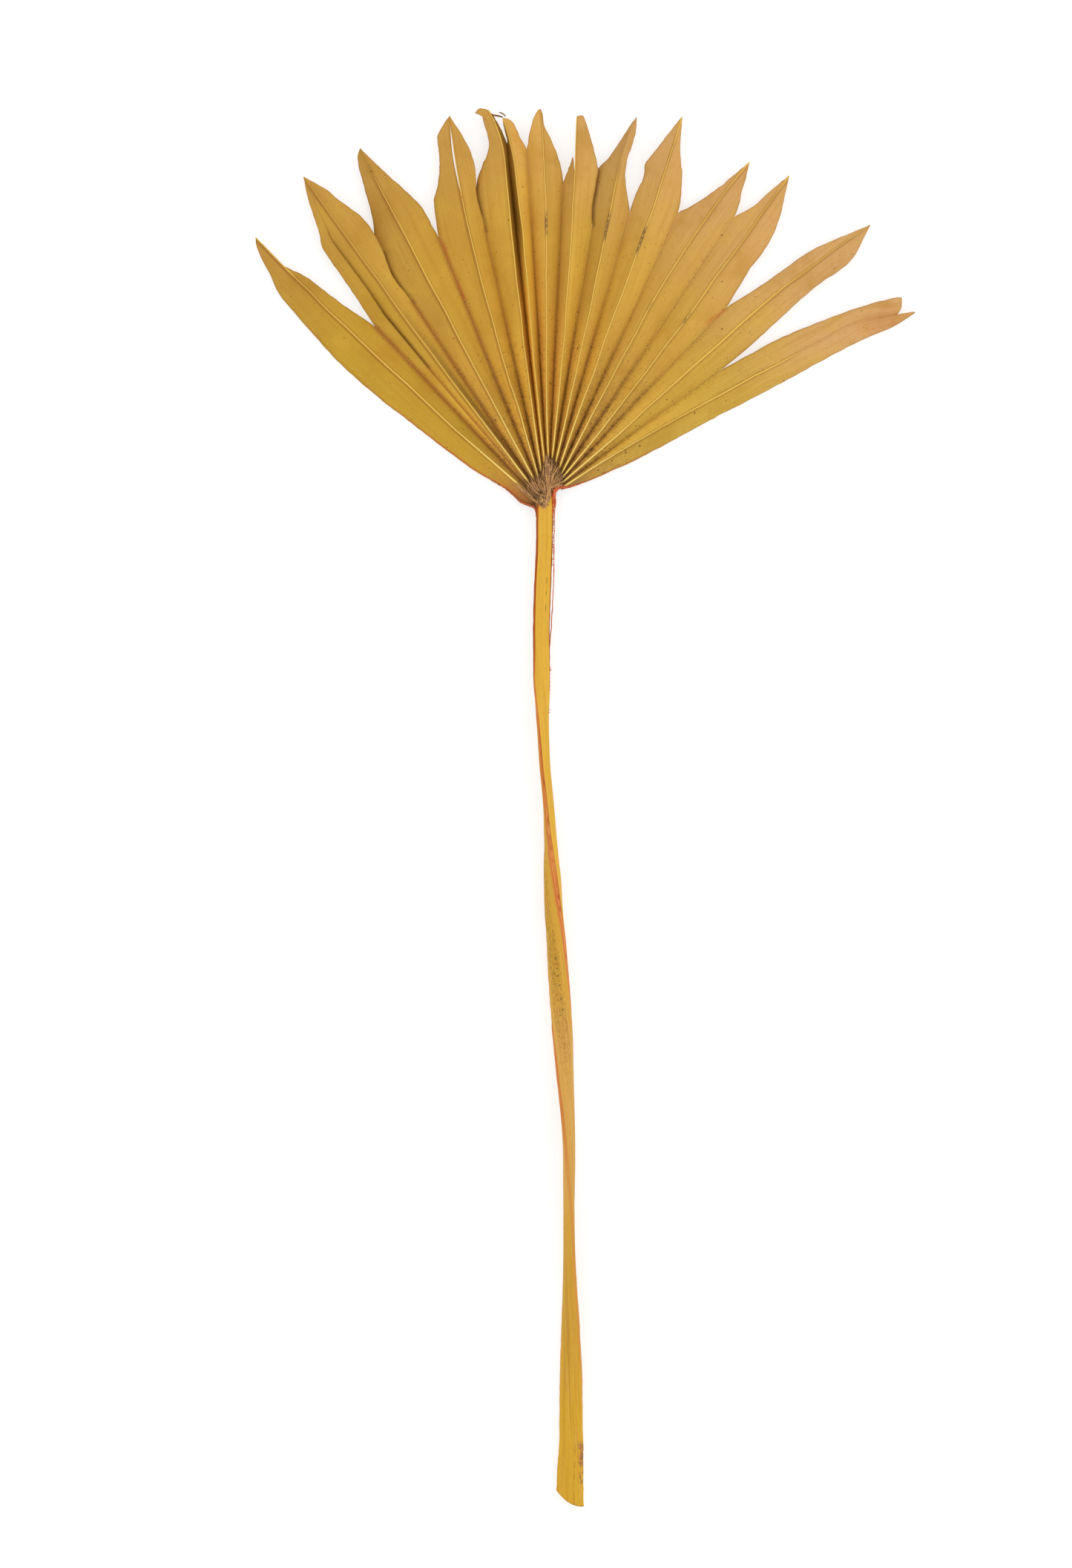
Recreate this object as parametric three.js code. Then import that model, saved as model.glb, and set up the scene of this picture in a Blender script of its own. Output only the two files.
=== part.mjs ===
// Dried leaf of a fan palm lying on its back: a pleated fan of segments, the hastula (the fibrous
// knot from which the ribs spring) and a flat, twisted stalk cut off at a slant.
// Millimetres. +Z up, +Y from the cut end of the stalk to the tips, +X to the right seen from above.
import * as THREE from "three";

// Driving dimensions
const LEAF_LENGTH = 508; // cut end of the stalk to the furthest tip, 20 in
const FAN_REACH = 140; // hub to the furthest tip, along the leaf
const FAN_LEFT = 106.5; // hub to the outermost tip on the left
const FAN_RIGHT = 133.5; // hub to the outermost tip on the right
const HUB = new THREE.Vector3((FAN_LEFT - FAN_RIGHT) / 2, LEAF_LENGTH / 2 - FAN_REACH, 0);

const BLADE_THICKNESS = 0.7;
const RIB_HEIGHT = 0.7; // rib above the blade, at the hub
const RIB_FOOT = 1.1; // rib crest to the foot of its slope
const VALLEY_Z = 1.5; // fold between two segments above the floor, at the sides of the fan
const CROWN = 1.8; // how much higher the folds lie in the middle of the fan, at the tips
const CROWN_WIDTH = 230;
const OUTER_EDGE_Z = 0.3; // lowest point of the two outer edges of the fan, which it lies on
const OUTER_EDGE_LOW = 0.62; // where along the edge that point is
const OUTER_EDGE_CURVE = 5;

const HASTULA_Z = 4.2; // height of its middle
const HASTULA_HALF_HEIGHT = 2.3;
const STALK_WIDTH = 6.2; // at the hastula
const STALK_ASIDE = -1.3; // its middle from the hub, there
const CUT_SLANT = 5.7; // the foot of the stalk is cut this much shorter on the left, in a slight curve
const CUT_SPREAD = 26; // stretch of the stalk over which its rings lean towards that cut

// Where the ribs spring from the hastula, from left to right, [x, y] from the hub; the folds between
// them start halfway, and the fan's two outer edges at points of their own.
const ROOTS = [
  [-6, -0.6], [-5.2, 1.8], [-4.6, 4.2], [-3.7, 6.2], [-2.7, 8.8], [-1.5, 12], [-0.05, 13.6],
  [1.3, 13.2], [2.6, 11.8], [3.9, 9.6], [4.7, 7.6], [5, 6.1], [4.9, 4.3], [5.1, 2.6],
];
const LEFT_ROOT = [-4.9, -5];
const RIGHT_ROOT = [4.6, 1.2];

// The segments from left to right. Points are [x, y] from the hub. tip: end of the rib. bow: how
// far the rib bends to the right at mid-length. skew: how much more of that bend is in its outer
// half. hook: the same at its very end. rise: height of the rib above the folds. left, right: free
// margins from the split to the tip; the first segment's left margin and the last one's right
// margin are the fan's outer edges and start at the hub. lift: how far the left and right margins
// stand up, where one segment lies over the next.
const SEGMENTS = [
  { tip: [-106.5, 93.5], bow: -1.5, skew: 0.2, rise: 2.6,
    left: [[-10.2, -2.5], [-12, -0.6], [-15, 1.8], [-20, 4.8], [-30, 11], [-43, 20.8], [-60, 33.9],
      [-76, 48], [-93.2, 67.2], [-98.3, 73.6], [-101.2, 80], [-104.2, 85.7]],
    right: [[-75.5, 69.5], [-89.5, 79.9], [-95.6, 82.6], [-99, 85.3], [-102.5, 89.2]] },
  { tip: [-89, 115.5], bow: -0.65, rise: 3.2, lift: [0.4, 3],
    left: [[-70, 71.8], [-80, 86.2], [-82.2, 89.6], [-85, 100.2], [-88, 110]],
    right: [[-55, 76.8], [-58.5, 83.6], [-60, 88], [-63.6, 95], [-66.8, 99.6], [-80, 110.2]] },
  { tip: [-68.5, 125.8], bow: -0.35, rise: 3.6, lift: [-0.6, 0.4],
    left: [[-60.5, 86], [-63.3, 94.5], [-65, 105], [-68, 115.5], [-69.3, 123]],
    right: [[-44, 101], [-46.3, 104.7], [-57, 114.8], [-60.5, 118]] },
  { tip: [-36, 137.5], bow: -2.75, skew: 0.6, rise: 4.4, lift: [0.4, 2.2],
    left: [[-41.5, 104], [-41.7, 106.5], [-39.6, 118], [-40.3, 129.5], [-37.8, 135]],
    right: [[-25, 104], [-26.4, 114], [-26.9, 120], [-30.3, 128.5]] },
  { tip: [-17.5, 140], bow: -1.1, hook: -4.3, rise: 6, lift: [-0.5, 0],
    left: [[-26, 104], [-25.8, 114], [-21.5, 126.5], [-23, 133.5], [-26.5, 138.5], [-24.5, 140]],
    right: [[-15, 126.5], [-16.5, 130.5], [-18.2, 134.2]] },
  { tip: [-14.8, 136.9], bow: 0.55, skew: 2, hook: -1.8, rise: 6.2, lift: [0, 0.4],
    left: [[-15, 129], [-16.2, 134]],
    right: [[-9.2, 127.6], [-12.7, 134.6], [-14.3, 136.2]] },
  { tip: [-3, 140], bow: 0.7, skew: 2.3, rise: 5.8,
    left: [[-7.5, 127.3], [-6.6, 132.5], [-4.6, 138.3]],
    right: [[3.9, 121], [-0.2, 131], [-1.9, 135], [-2.3, 138.6]] },
  { tip: [10.2, 137.3], bow: 1.3, rise: 5.8, lift: [0.4, 1.5],
    left: [[6.5, 116], [8.9, 122.5], [9.5, 128]],
    right: [[16.8, 111], [17.9, 118], [17.2, 122], [14.5, 132], [12.5, 137.6]] },
  { tip: [29.5, 137.5], bow: 0.45, skew: -1, hook: 2.5, rise: 5.4, lift: [-0.3, 0.4],
    left: [[16.5, 108], [18.1, 118], [22.5, 123.1], [30, 134.4]],
    right: [[28.4, 109.5], [27.8, 116], [28.8, 122.5], [31.3, 130.2]] },
  { tip: [48.5, 137.3], bow: 0.7, skew: 1.5, rise: 4.8,
    left: [[32.1, 110], [34.5, 115], [35.3, 120.3], [40, 126.4], [46, 134.2]],
    right: [[48.3, 112], [48.4, 117], [47.8, 128.5]] },
  { tip: [73, 120.8], bow: -3.7, skew: 0.5, rise: 4,
    left: [[56, 107.4], [65, 114]],
    right: [[69.2, 105.5], [71.1, 113]] },
  { tip: [87.5, 116], bow: 1.3, skew: -0.3, rise: 3.6,
    left: [[75, 105.1], [80, 109.8]],
    right: [[69.5, 76], [78, 88.2], [81.4, 94.2], [83.9, 100.5], [85.5, 107]] },
  { tip: [117, 98], bow: -2.2, skew: 1, rise: 3,
    left: [[83, 79.9], [95.5, 88.7], [111, 95.5]],
    right: [[80, 60.2], [99, 76.9], [108.3, 83.5], [112.9, 89.5]] },
  { tip: [122.9, 69.6], bow: -1, skew: -1.4, hook: 5.8, rise: 2.4,
    left: [[83, 56.2], [95, 61.4], [111, 67.4], [128.2, 71.5], [128.2, 67.8]],
    right: [[9, 3], [15, 5.2], [20.5, 7.6], [31.5, 12.6], [62, 29], [80.5, 38.5], [101, 49.7],
      [114.5, 56.7], [125, 61], [130, 63.9], [133.5, 66.5]] },
];
// Where the fold between two neighbours ends and their free margins begin.
const SPLITS = [
  [-63, 61], [-49.5, 70], [-40, 93.5], [-23, 96], [-14.5, 121], [-8, 125.6], [5.2, 113], [16, 98],
  [29.5, 102.5], [47, 102.5], [67.5, 101], [64.7, 68], [62.3, 45],
];

// The hastula from the stalk to the crown of the ribs' arch: distance along Y from the hub, left and
// right side. It stands clear of the roots.
const HASTULA = [
  [-5.8, -4.3, 2.1], [-3, -4.4, 2.3], [0, -4.8, 2.7], [2, -4.3, 3.7], [4, -3.8, 4.1], [6, -3, 4.2],
  [8, -2.1, 3.8], [10, -1.4, 2.9], [12, -0.5, 1.6], [12.7, 0, 1],
];

// The stalk from the hastula to its foot: distance below the hub, sideways from the hub, height of
// its middle, width, thickness, thickness of its two edges, turn about its own axis in degrees.
const STALK = [
  [6.25, STALK_ASIDE, 4.2, STALK_WIDTH, 3.4, 1.3, 7],
  [19.4, -1.6, 4.4, 5.9, 3.4, 1.2, 9],
  [35.6, -2.15, 4.6, 5.9, 3.4, 1.2, 9],
  [46.4, -2.45, 4.8, 5.75, 3.4, 1.1, 9],
  [62.5, -2.4, 4.9, 5.75, 3.4, 1, 12],
  [68, -2.4, 4.95, 5.75, 3.4, 1, 18],
  [73.3, -2.2, 5, 5.7, 3.4, 1, 33],
  [78.7, -2.1, 5, 5.7, 3.4, 1, 45],
  [89.5, -1.7, 5, 5.6, 3.4, 1, 57],
  [100, -1.1, 5, 5.6, 3.4, 1, 63],
  [108, -0.3, 5, 5.6, 3.4, 1.1, 66],
  [116, 0.35, 5, 5.7, 3.7, 1.2, 70],
  [122, 0.65, 5, 5.9, 4.2, 1.4, 76],
  [127, 0.95, 5, 6.1, 4.5, 1.6, 83],
  [132.5, 1.15, 5, 6.4, 5.2, 1.7, 92],
  [138, 1.45, 5, 6.7, 5.9, 1.7, 101],
  [143.5, 1.7, 5, 7, 6.3, 1.7, 111],
  [149, 1.9, 5, 7.2, 6.5, 1.7, 120],
  [154, 2.2, 5, 7.4, 6.6, 1.7, 129],
  [159.5, 2.7, 5, 7.5, 6.2, 1.7, 137],
  [170.5, 3.45, 5, 7.4, 5.6, 1.6, 150],
  [181, 4.2, 5, 7.3, 5, 1.4, 163],
  [192, 4.95, 5, 7.2, 4.6, 1.2, 184],
  [202.5, 5.6, 5, 7.2, 4.2, 1.1, 209],
  [213.5, 6.25, 5, 7.2, 4, 1.1, 223],
  [224, 7, 5, 7.2, 4, 1.1, 235],
  [235, 7.5, 5, 7.1, 4, 1.1, 247],
  [246, 7.6, 4.9, 7.1, 4.1, 1.1, 262],
  [251, 7.55, 4.9, 7.1, 4, 1.1, 270],
  [262, 7.55, 4.7, 7.1, 3.6, 1, 286],
  [278, 7.7, 4.6, 7.1, 3.3, 1, 298],
  [289, 7.9, 4.3, 7.1, 3.3, 1, 308],
  [300, 8.1, 3.9, 7.4, 3.3, 1.1, 319],
  [310.5, 8.2, 3.4, 7.7, 3.4, 1.1, 329],
  [316, 8.3, 3.1, 8, 3.5, 1.2, 334],
  [332, 8.3, 2, 8.1, 3.8, 1.3, 350],
  [341, 8.25, 1.65, 8.5, 4.1, 1.4, 357],
  [348.5, 8.2, 1.5, 8.9, 4.2, 1.5, 360],
  [359, 7.9, 1.4, 9.55, 4.2, 1.6, 360],
  [368, 7.85, 1.4, 9.75, 4.2, 1.6, 360],
];

const ROWS = 22; // along each rib, closer together towards the tip
const rowAt = (j) => 1 - (1 - j / ROWS) ** 1.5;
const rowOf = (reach) => Math.round(ROWS * (1 - (1 - reach / 146) ** (2 / 3)));

// Where a rib starts (whole places), or the fold or outer edge beside it (halves).
function root(place) {
  if (place < 0) return LEFT_ROOT;
  if (place > ROOTS.length - 1) return RIGHT_ROOT;
  const [a, b] = [ROOTS[Math.floor(place)], ROOTS[Math.ceil(place)]];
  return [(a[0] + b[0]) / 2, (a[1] + b[1]) / 2];
}

const foldZ = (x, y) =>
  VALLEY_Z + CROWN * (1 - (2 * x / CROWN_WIDTH) ** 2) * Math.min(1, Math.hypot(x, y) / FAN_REACH);

// Rib of segment k at t from root to tip: straight, bowed aside, hooked at the end, and raised.
function ribPoint(k, t) {
  const { tip, bow, skew = 0, hook = 0, rise } = SEGMENTS[k];
  const from = root(k);
  const dx = tip[0] - from[0];
  const dy = tip[1] - from[1];
  const length = Math.hypot(dx, dy);
  const bend = bow * 4 * t * (1 - t) * (1 + skew * (2 * t - 1));
  const aside = bend + hook * Math.max(0, (t - 0.85) / 0.15) ** 2;
  const x = from[0] + dx * t + (aside * dy) / length;
  const y = from[1] + dy * t - (aside * dx) / length;
  const swell = 0.55 + 0.45 * Math.sin(Math.PI * t ** 0.8) - 0.25 * t * t;
  return new THREE.Vector3(x, y, foldZ(x, y) + rise * swell);
}

// Margin of segment k on one side (-1 left, 1 right), a point for each row: along the shared fold up
// to the split, then along the free margin to the tip.
function marginPoints(k, side) {
  const { left, right, lift = [0.4, 0.4] } = SEGMENTS[k];
  const split = SPLITS[side < 0 ? k - 1 : k];
  const from = root(k + side / 2);
  const first = split ? rowOf(Math.hypot(...split)) : 0;
  const tip = ribPoint(k, 1);
  const free = [split ?? from, ...(side < 0 ? left : right), [tip.x, tip.y]];
  const stops = free.map(([x, y]) => new THREE.Vector3(x, y, 0));
  const curve = new THREE.CatmullRomCurve3(stops, false, "centripetal");
  const points = [];
  for (let j = 0; j <= ROWS; j++) {
    const t = rowAt(j);
    if (j < first) {
      const s = t / rowAt(first);
      const x = from[0] + (split[0] - from[0]) * s;
      const y = from[1] + (split[1] - from[1]) * s;
      points.push(new THREE.Vector3(x, y, foldZ(x, y)));
    } else {
      const s = (t - rowAt(first)) / (1 - rowAt(first));
      const p = curve.getPointAt(s);
      const ribZ = ribPoint(k, t).z;
      if (split) {
        p.z = foldZ(p.x, p.y) * (1 - s * s) + ribZ * s * s + lift[side < 0 ? 0 : 1] * Math.sin(Math.PI * s);
      } else {
        const edge = OUTER_EDGE_Z + OUTER_EDGE_CURVE * (s - OUTER_EDGE_LOW) ** 2;
        p.z = edge * (1 - s ** 8) + ribZ * s ** 8;
      }
      points.push(p);
    }
  }
  return points;
}

// Middle surface of the fan: each half of a segment is ruled between its rib and its margin, and
// neighbours share the points of the fold between them. Rib points carry the height of the rib.
function fanSheet() {
  const points = [];
  const ribHeight = [];
  const faces = [];
  const known = new Map();
  const vertex = (p, height) => {
    const key = p.toArray().map((v) => v.toFixed(4)).join();
    if (!known.has(key)) {
      known.set(key, points.length);
      points.push(p);
      ribHeight.push(height);
    }
    return known.get(key);
  };
  for (let k = 0; k < SEGMENTS.length; k++) {
    for (const side of [-1, 1]) {
      const margin = marginPoints(k, side);
      const grid = margin.map((edge, j) => {
        const rib = ribPoint(k, rowAt(j));
        const foot = Math.min(0.3, RIB_FOOT / Math.max(edge.distanceTo(rib), 0.001));
        return [0, foot, (1 + foot) / 2, 1].map((f) =>
          vertex(rib.clone().lerp(edge, f), f === 0 ? RIB_HEIGHT * (1 - 0.65 * rowAt(j)) : 0));
      });
      for (let j = 0; j < ROWS; j++) {
        for (let c = 0; c < 3; c++) {
          const quad = [grid[j][c], grid[j][c + 1], grid[j + 1][c + 1], grid[j + 1][c]];
          if (side < 0) quad.reverse();
          faces.push([quad[0], quad[1], quad[2]], [quad[0], quad[2], quad[3]]);
        }
      }
    }
  }
  return { points, ribHeight, faces: faces.filter(([a, b, c]) => a !== b && b !== c && c !== a) };
}

// Thickens the sheet up and down, more where it is steep, and walls its open edges.
function bladeGeometry() {
  const { points, ribHeight, faces } = fanSheet();
  const level = points.map(() => 1);
  const normal = new THREE.Vector3();
  for (const face of faces) {
    THREE.Triangle.getNormal(...face.map((v) => points[v]), normal);
    for (const v of face) level[v] = Math.min(level[v], normal.z);
  }
  const half = level.map((z) => BLADE_THICKNESS / 2 / Math.max(z, 0.18));
  const top = points.map((p, v) => [p.x, p.y, p.z + half[v] + ribHeight[v]]);
  const bottom = points.map((p, v) => [p.x, p.y, Math.max(0, p.z - half[v])]);
  const under = points.length;
  const index = [];
  const edges = new Set();
  for (const [a, b, c] of faces) {
    index.push(a, b, c, c + under, b + under, a + under);
    edges.add(`${a},${b}`).add(`${b},${c}`).add(`${c},${a}`);
  }
  for (const edge of edges) {
    const [a, b] = edge.split(",").map(Number);
    if (!edges.has(`${b},${a}`)) index.push(a, a + under, b + under, a, b + under, b);
  }
  return indexed([...top, ...bottom].flat(), index);
}

function indexed(position, index) {
  const geometry = new THREE.BufferGeometry();
  geometry.setAttribute("position", new THREE.Float32BufferAttribute(position, 3));
  geometry.setIndex(index);
  geometry.computeVertexNormals();
  return geometry;
}

// Skin through rings of equally many points, with flat ends.
function loft(rings) {
  const n = rings[0].length;
  const index = [];
  for (let r = 0; r + 1 < rings.length; r++) {
    for (let i = 0; i < n; i++) {
      const a = r * n + i;
      const b = r * n + ((i + 1) % n);
      index.push(a, b, b + n, a, b + n, a + n);
    }
  }
  const last = (rings.length - 1) * n;
  for (let i = 1; i + 1 < n; i++) {
    index.push(0, i + 1, i, last, last + i, last + i + 1);
  }
  return indexed(rings.flat(2), index);
}

// Outline of the stalk's section, [across, up]: two domed faces that meet in flat, narrow edges.
function stalkSection(width, thickness, edge) {
  const places = [1, 0.85, 0.6, 0.3, 0, -0.3, -0.6, -0.85, -1];
  const upper = places.map((s) => [(s * width) / 2, edge / 2 + ((thickness - edge) / 2) * (1 - s * s)]);
  const lower = upper.map(([across, up]) => [across, -up]).reverse();
  return [...upper, ...lower];
}

function stalkGeometry() {
  const place = new THREE.CubicInterpolant(STALK.map((s) => s[0]), STALK.flatMap((s) => s.slice(1)), 6);
  const from = STALK[0][0];
  const to = STALK.at(-1)[0];
  const stations = 90;
  const rings = [];
  for (let i = 0; i <= stations; i++) {
    const down = from + ((to - from) * i) / stations;
    const [aside, height, width, thickness, edge, turn] = place.evaluate(down);
    const angle = THREE.MathUtils.degToRad(turn);
    const slant = CUT_SLANT * THREE.MathUtils.smoothstep(down, to - CUT_SPREAD, to);
    rings.push(stalkSection(width, thickness, edge).map(([across, up]) => [
      aside + across * Math.cos(angle) + up * Math.sin(angle),
      -down + slant * Math.max(0, 0.5 - across / width) ** 2.2,
      Math.max(0, height - across * Math.sin(angle) + up * Math.cos(angle)),
    ]));
  }
  return loft(rings);
}

// A ridged tongue that fills the arch of the ribs and stands on the end of the stalk.
function hastulaGeometry() {
  const sides = new THREE.LinearInterpolant(HASTULA.map((h) => h[0]), HASTULA.flatMap((h) => h.slice(1)), 2);
  const [from, to] = [HASTULA[0][0], HASTULA.at(-1)[0]];
  const stations = 18;
  const around = 24;
  const rings = [];
  for (let i = 0; i <= stations; i++) {
    const y = from + ((to - from) * i) / stations;
    const [left, right] = sides.evaluate(y);
    const tall = HASTULA_HALF_HEIGHT * (1 - 0.5 * (i / stations) ** 3);
    const ring = [];
    for (let a = 0; a < around; a++) {
      const angle = (2 * Math.PI * a) / around;
      const ridge = 1 - 0.09 * (a % 2) * Math.sin((Math.PI * i) / stations);
      const across = (left + right) / 2 + ((right - left) / 2) * ridge * Math.cos(angle);
      ring.push([across, y, HASTULA_Z - tall * ridge * Math.sin(angle)]);
    }
    rings.push(ring);
  }
  return loft(rings);
}

const leaf = new THREE.Group();
const organ = (name, geometry, color, roughness) => {
  const mesh = new THREE.Mesh(geometry, new THREE.MeshStandardMaterial({ color, roughness, metalness: 0 }));
  mesh.name = name;
  mesh.position.copy(HUB);
  leaf.add(mesh);
};
organ("blade", bladeGeometry(), 0xc39a44, 0.75);
organ("hastula", hastulaGeometry(), 0x96714b, 0.95);
organ("petiole", stalkGeometry(), 0xd6a748, 0.55);

export default leaf;
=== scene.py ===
import bpy
import numpy as np
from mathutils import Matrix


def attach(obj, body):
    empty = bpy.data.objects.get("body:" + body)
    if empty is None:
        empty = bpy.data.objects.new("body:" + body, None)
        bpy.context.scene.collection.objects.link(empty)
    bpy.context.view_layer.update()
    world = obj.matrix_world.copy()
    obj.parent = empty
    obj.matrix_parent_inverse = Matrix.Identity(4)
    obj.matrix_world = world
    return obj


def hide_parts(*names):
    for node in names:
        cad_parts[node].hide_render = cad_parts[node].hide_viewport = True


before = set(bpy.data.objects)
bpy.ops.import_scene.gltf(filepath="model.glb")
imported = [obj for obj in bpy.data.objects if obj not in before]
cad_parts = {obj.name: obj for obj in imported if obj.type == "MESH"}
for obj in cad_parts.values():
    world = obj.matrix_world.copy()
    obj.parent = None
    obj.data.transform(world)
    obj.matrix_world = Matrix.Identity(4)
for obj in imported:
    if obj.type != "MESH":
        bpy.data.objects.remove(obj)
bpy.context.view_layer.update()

# The blade: one sheet of dried leaf, pleated into fourteen segments that part towards their tips.
# Each segment is a low roof with a hard rib for its ridge, and the folds between the roofs hold the
# fan together. It grew out of the hastula, where all the ribs run together.
HUB = np.array([-13.5, 114.0, 0.0])  # where the ribs meet, mm from the middle of the leaf
ROOTS = np.array([  # where the ribs spring from the hastula, from left to right, mm from the hub
    (-6, -0.6), (-5.2, 1.8), (-4.6, 4.2), (-3.7, 6.2), (-2.7, 8.8), (-1.5, 12), (-0.05, 13.6),
    (1.3, 13.2), (2.6, 11.8), (3.9, 9.6), (4.7, 7.6), (5, 6.1), (4.9, 4.3), (5.1, 2.6),
])
LEFT_ROOT = np.array([-4.9, -5])  # where the fan's two outer edges start
RIGHT_ROOT = np.array([4.5, 1.9])
# The segments from left to right. tip: end of the rib. bow: how far it bends to the right, skew: how
# much of that in its outer half, hook: at its very end. rise: its height over the folds. left, right:
# margins from the split to the tip. lift: how far each margin stands up where it lies over the next.
# own_end: a half that leaves the rib at a share of its length and ends in a point of its own.
SEGMENTS = [
    dict(tip=(-106.5, 93.5), bow=-1.5, skew=0.2, rise=2.6,
         left=[(-10.2, -2.5), (-12, -0.6), (-15, 1.8), (-20, 4.8), (-25, 7.6), (-30, 11), (-43, 20.8),
               (-55, 30.1), (-60, 33.9), (-70, 42.4), (-76, 48), (-93.2, 67.2), (-98.3, 73.6),
               (-101.2, 80), (-104.2, 85.7), (-106.1, 90.3)],
         right=[(-75.5, 69.5), (-89.5, 79.9), (-95.6, 82.6), (-99, 85.3), (-102.5, 89.2)]),
    dict(tip=(-89, 115.5), bow=-0.65, rise=3.2, lift=(0.4, 3),
         left=[(-70, 71.8), (-80, 86.2), (-82.2, 89.6), (-83.5, 95.5), (-85, 100.2), (-86.5, 104.6),
               (-88, 110)],
         right=[(-52, 73.2), (-55, 76.8), (-57, 80), (-58.5, 83.6), (-60, 88), (-63.6, 95),
                (-66.8, 99.6), (-76, 106.8), (-80, 110.2)]),
    dict(tip=(-68.5, 125.8), bow=-0.35, rise=3.6, lift=(-1.2, 0.4),
         left=[(-54, 73.6), (-58.6, 80), (-61, 87), (-63.3, 94.5), (-63.9, 100), (-65, 105),
               (-66.5, 110), (-68, 115.5), (-69, 119.5), (-69.3, 123)],
         right=[(-42, 97), (-44, 101), (-46.3, 104.7), (-50, 108.4), (-57, 114.8), (-60.5, 118)]),
    dict(tip=(-36, 137.5), bow=-2.75, skew=0.6, rise=4.4, lift=(0.4, 2.2),
         left=[(-41.5, 104), (-41.7, 106.5), (-40, 113), (-39.6, 118), (-39.7, 124.5), (-40.3, 128.5),
               (-40.2, 130.5), (-39.3, 132.3), (-37.8, 135)],
         right=[(-23.8, 100), (-25, 104), (-26.2, 109), (-26.4, 114), (-26.9, 120), (-28.7, 125.3),
                (-30.3, 128.5), (-32.3, 132)]),
    dict(tip=(-17.5, 140), bow=-1.1, hook=-4.3, rise=6, lift=(-0.5, 0),
         left=[(-26, 104), (-25.8, 114), (-23.7, 120), (-21.5, 126.5), (-22.1, 130.5), (-23.2, 134.5),
               (-24, 137.4), (-24.6, 138.4), (-26.7, 138.7), (-25.9, 139.6), (-25, 140.2), (-23.4, 140)],
         right=[(-15, 126.5), (-16.5, 130.5), (-18.2, 134.2), (-20, 137.3)]),
    dict(tip=(-14.8, 136.9), bow=0.55, skew=2, hook=-1.8, rise=6.2, lift=(0, 0.4),
         left=[(-15, 129), (-16.2, 134)],
         right=[(-9.2, 127.6), (-10.6, 130), (-12.7, 134.6), (-14.3, 136.2)]),
    dict(tip=(-3, 140), bow=0.7, skew=2.3, rise=5.8,
         left=[(-7.5, 127.3), (-7.2, 129.5), (-6.6, 132.5), (-5.8, 135.3), (-4.6, 138.3), (-3.8, 139.6)],
         right=[(4.9, 116.3), (3.9, 121), (2.3, 125.6), (-0.2, 131), (-1.7, 134.2), (-2, 136),
                (-2.3, 138.6)]),
    dict(tip=(10.2, 137.3), bow=1.3, rise=5.8, lift=(0.4, 1.5), own_end=(-1, 0.82, (8.9, 122.5)),
         left=[(6.5, 116), (7.6, 119)],
         right=[(15.7, 104), (16.8, 111), (17.9, 118), (17.2, 122), (16.2, 126), (14.5, 132),
                (13.2, 136), (12.5, 137.6)]),
    dict(tip=(29.5, 137.5), bow=0.45, skew=-1, hook=2.5, rise=5.4, lift=(-1.1, 0.4),
         left=[(15, 104), (15.8, 110), (17, 115.6), (18.2, 118.6), (20, 120.3), (22.5, 123.1),
               (25.5, 127.5), (30, 134.4)],
         right=[(28.4, 109.5), (27.8, 114), (27.9, 118.5), (28.8, 122.5), (30.2, 126.5), (31.3, 130.2),
                (31.9, 133.5)]),
    dict(tip=(48.5, 137.3), bow=0.7, skew=1.5, rise=4.8,
         left=[(30.3, 105), (32.1, 110), (34.5, 115), (35.3, 120.3), (37, 122.6), (40, 126.4), (46, 134.2)],
         right=[(48, 107), (48.3, 112), (48.4, 117), (47.9, 123), (47.8, 128.5), (48.2, 133)]),
    dict(tip=(73, 120.8), bow=-3.7, skew=0.5, rise=4,
         left=[(52, 104.8), (56, 107.4), (60, 110.1), (65, 114)],
         right=[(69.2, 105.5), (69.9, 109), (71.1, 113), (72.2, 117)]),
    dict(tip=(87.5, 116), bow=1.3, skew=-0.3, rise=3.6,
         left=[(72, 103.2), (75, 105.1), (80, 109.8), (84, 113.1)],
         right=[(69.5, 76), (73.5, 82.5), (78, 88.2), (81.4, 94.2), (83.9, 100.5), (85.5, 107)]),
    dict(tip=(117, 98), bow=-2.2, skew=1, rise=3,
         left=[(75, 74.5), (83, 79.9), (92, 86.6), (95.5, 88.7), (104, 92.6), (111, 95.5)],
         right=[(72, 53), (80, 60.2), (90, 69.5), (99, 76.9), (105.5, 81.4), (108.3, 83.5),
                (111.2, 86.8), (112.9, 89.5), (114.5, 93)]),
    dict(tip=(122.9, 69.6), bow=-1, skew=-1.4, hook=5.8, rise=2.4,
         left=[(70, 49.2), (83, 56.2), (95, 61.4), (111, 67.4), (120, 70.1), (126, 71.5), (128.1, 71.7),
               (128.5, 71.4), (128.4, 70.4), (128.2, 67.8)],
         right=[(9, 3), (15, 5.2), (20.5, 7.6), (31.5, 12.6), (62, 29), (80.5, 38.5), (101, 49.7),
                (114.5, 56.7), (125, 61), (130, 63.9), (133.5, 66.5), (129.5, 65.6)]),
]
SPLITS = [  # where the fold between two neighbours ends and their free margins begin
    (-63, 61), (-49.5, 70), (-40, 93.5), (-23, 96), (-14.5, 121), (-8, 125.6), (5.2, 113), (16, 98),
    (29.5, 102.5), (47, 102.5), (67.5, 101), (64.7, 68), (62.3, 45),
]
# Lengthwise tears, by segment and side: share of the way from rib to margin, start and end along the
# rib, gap in mm (below 0 the outer strip lies over the inner one) and step in height in mm.
TEARS = {
    (1, -1): (0.56, 0.4, 0.87, -0.7, 1.4),
    (3, -1): (0.0, 0.78, 0.99, 1.05, 0.4),
}
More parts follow.
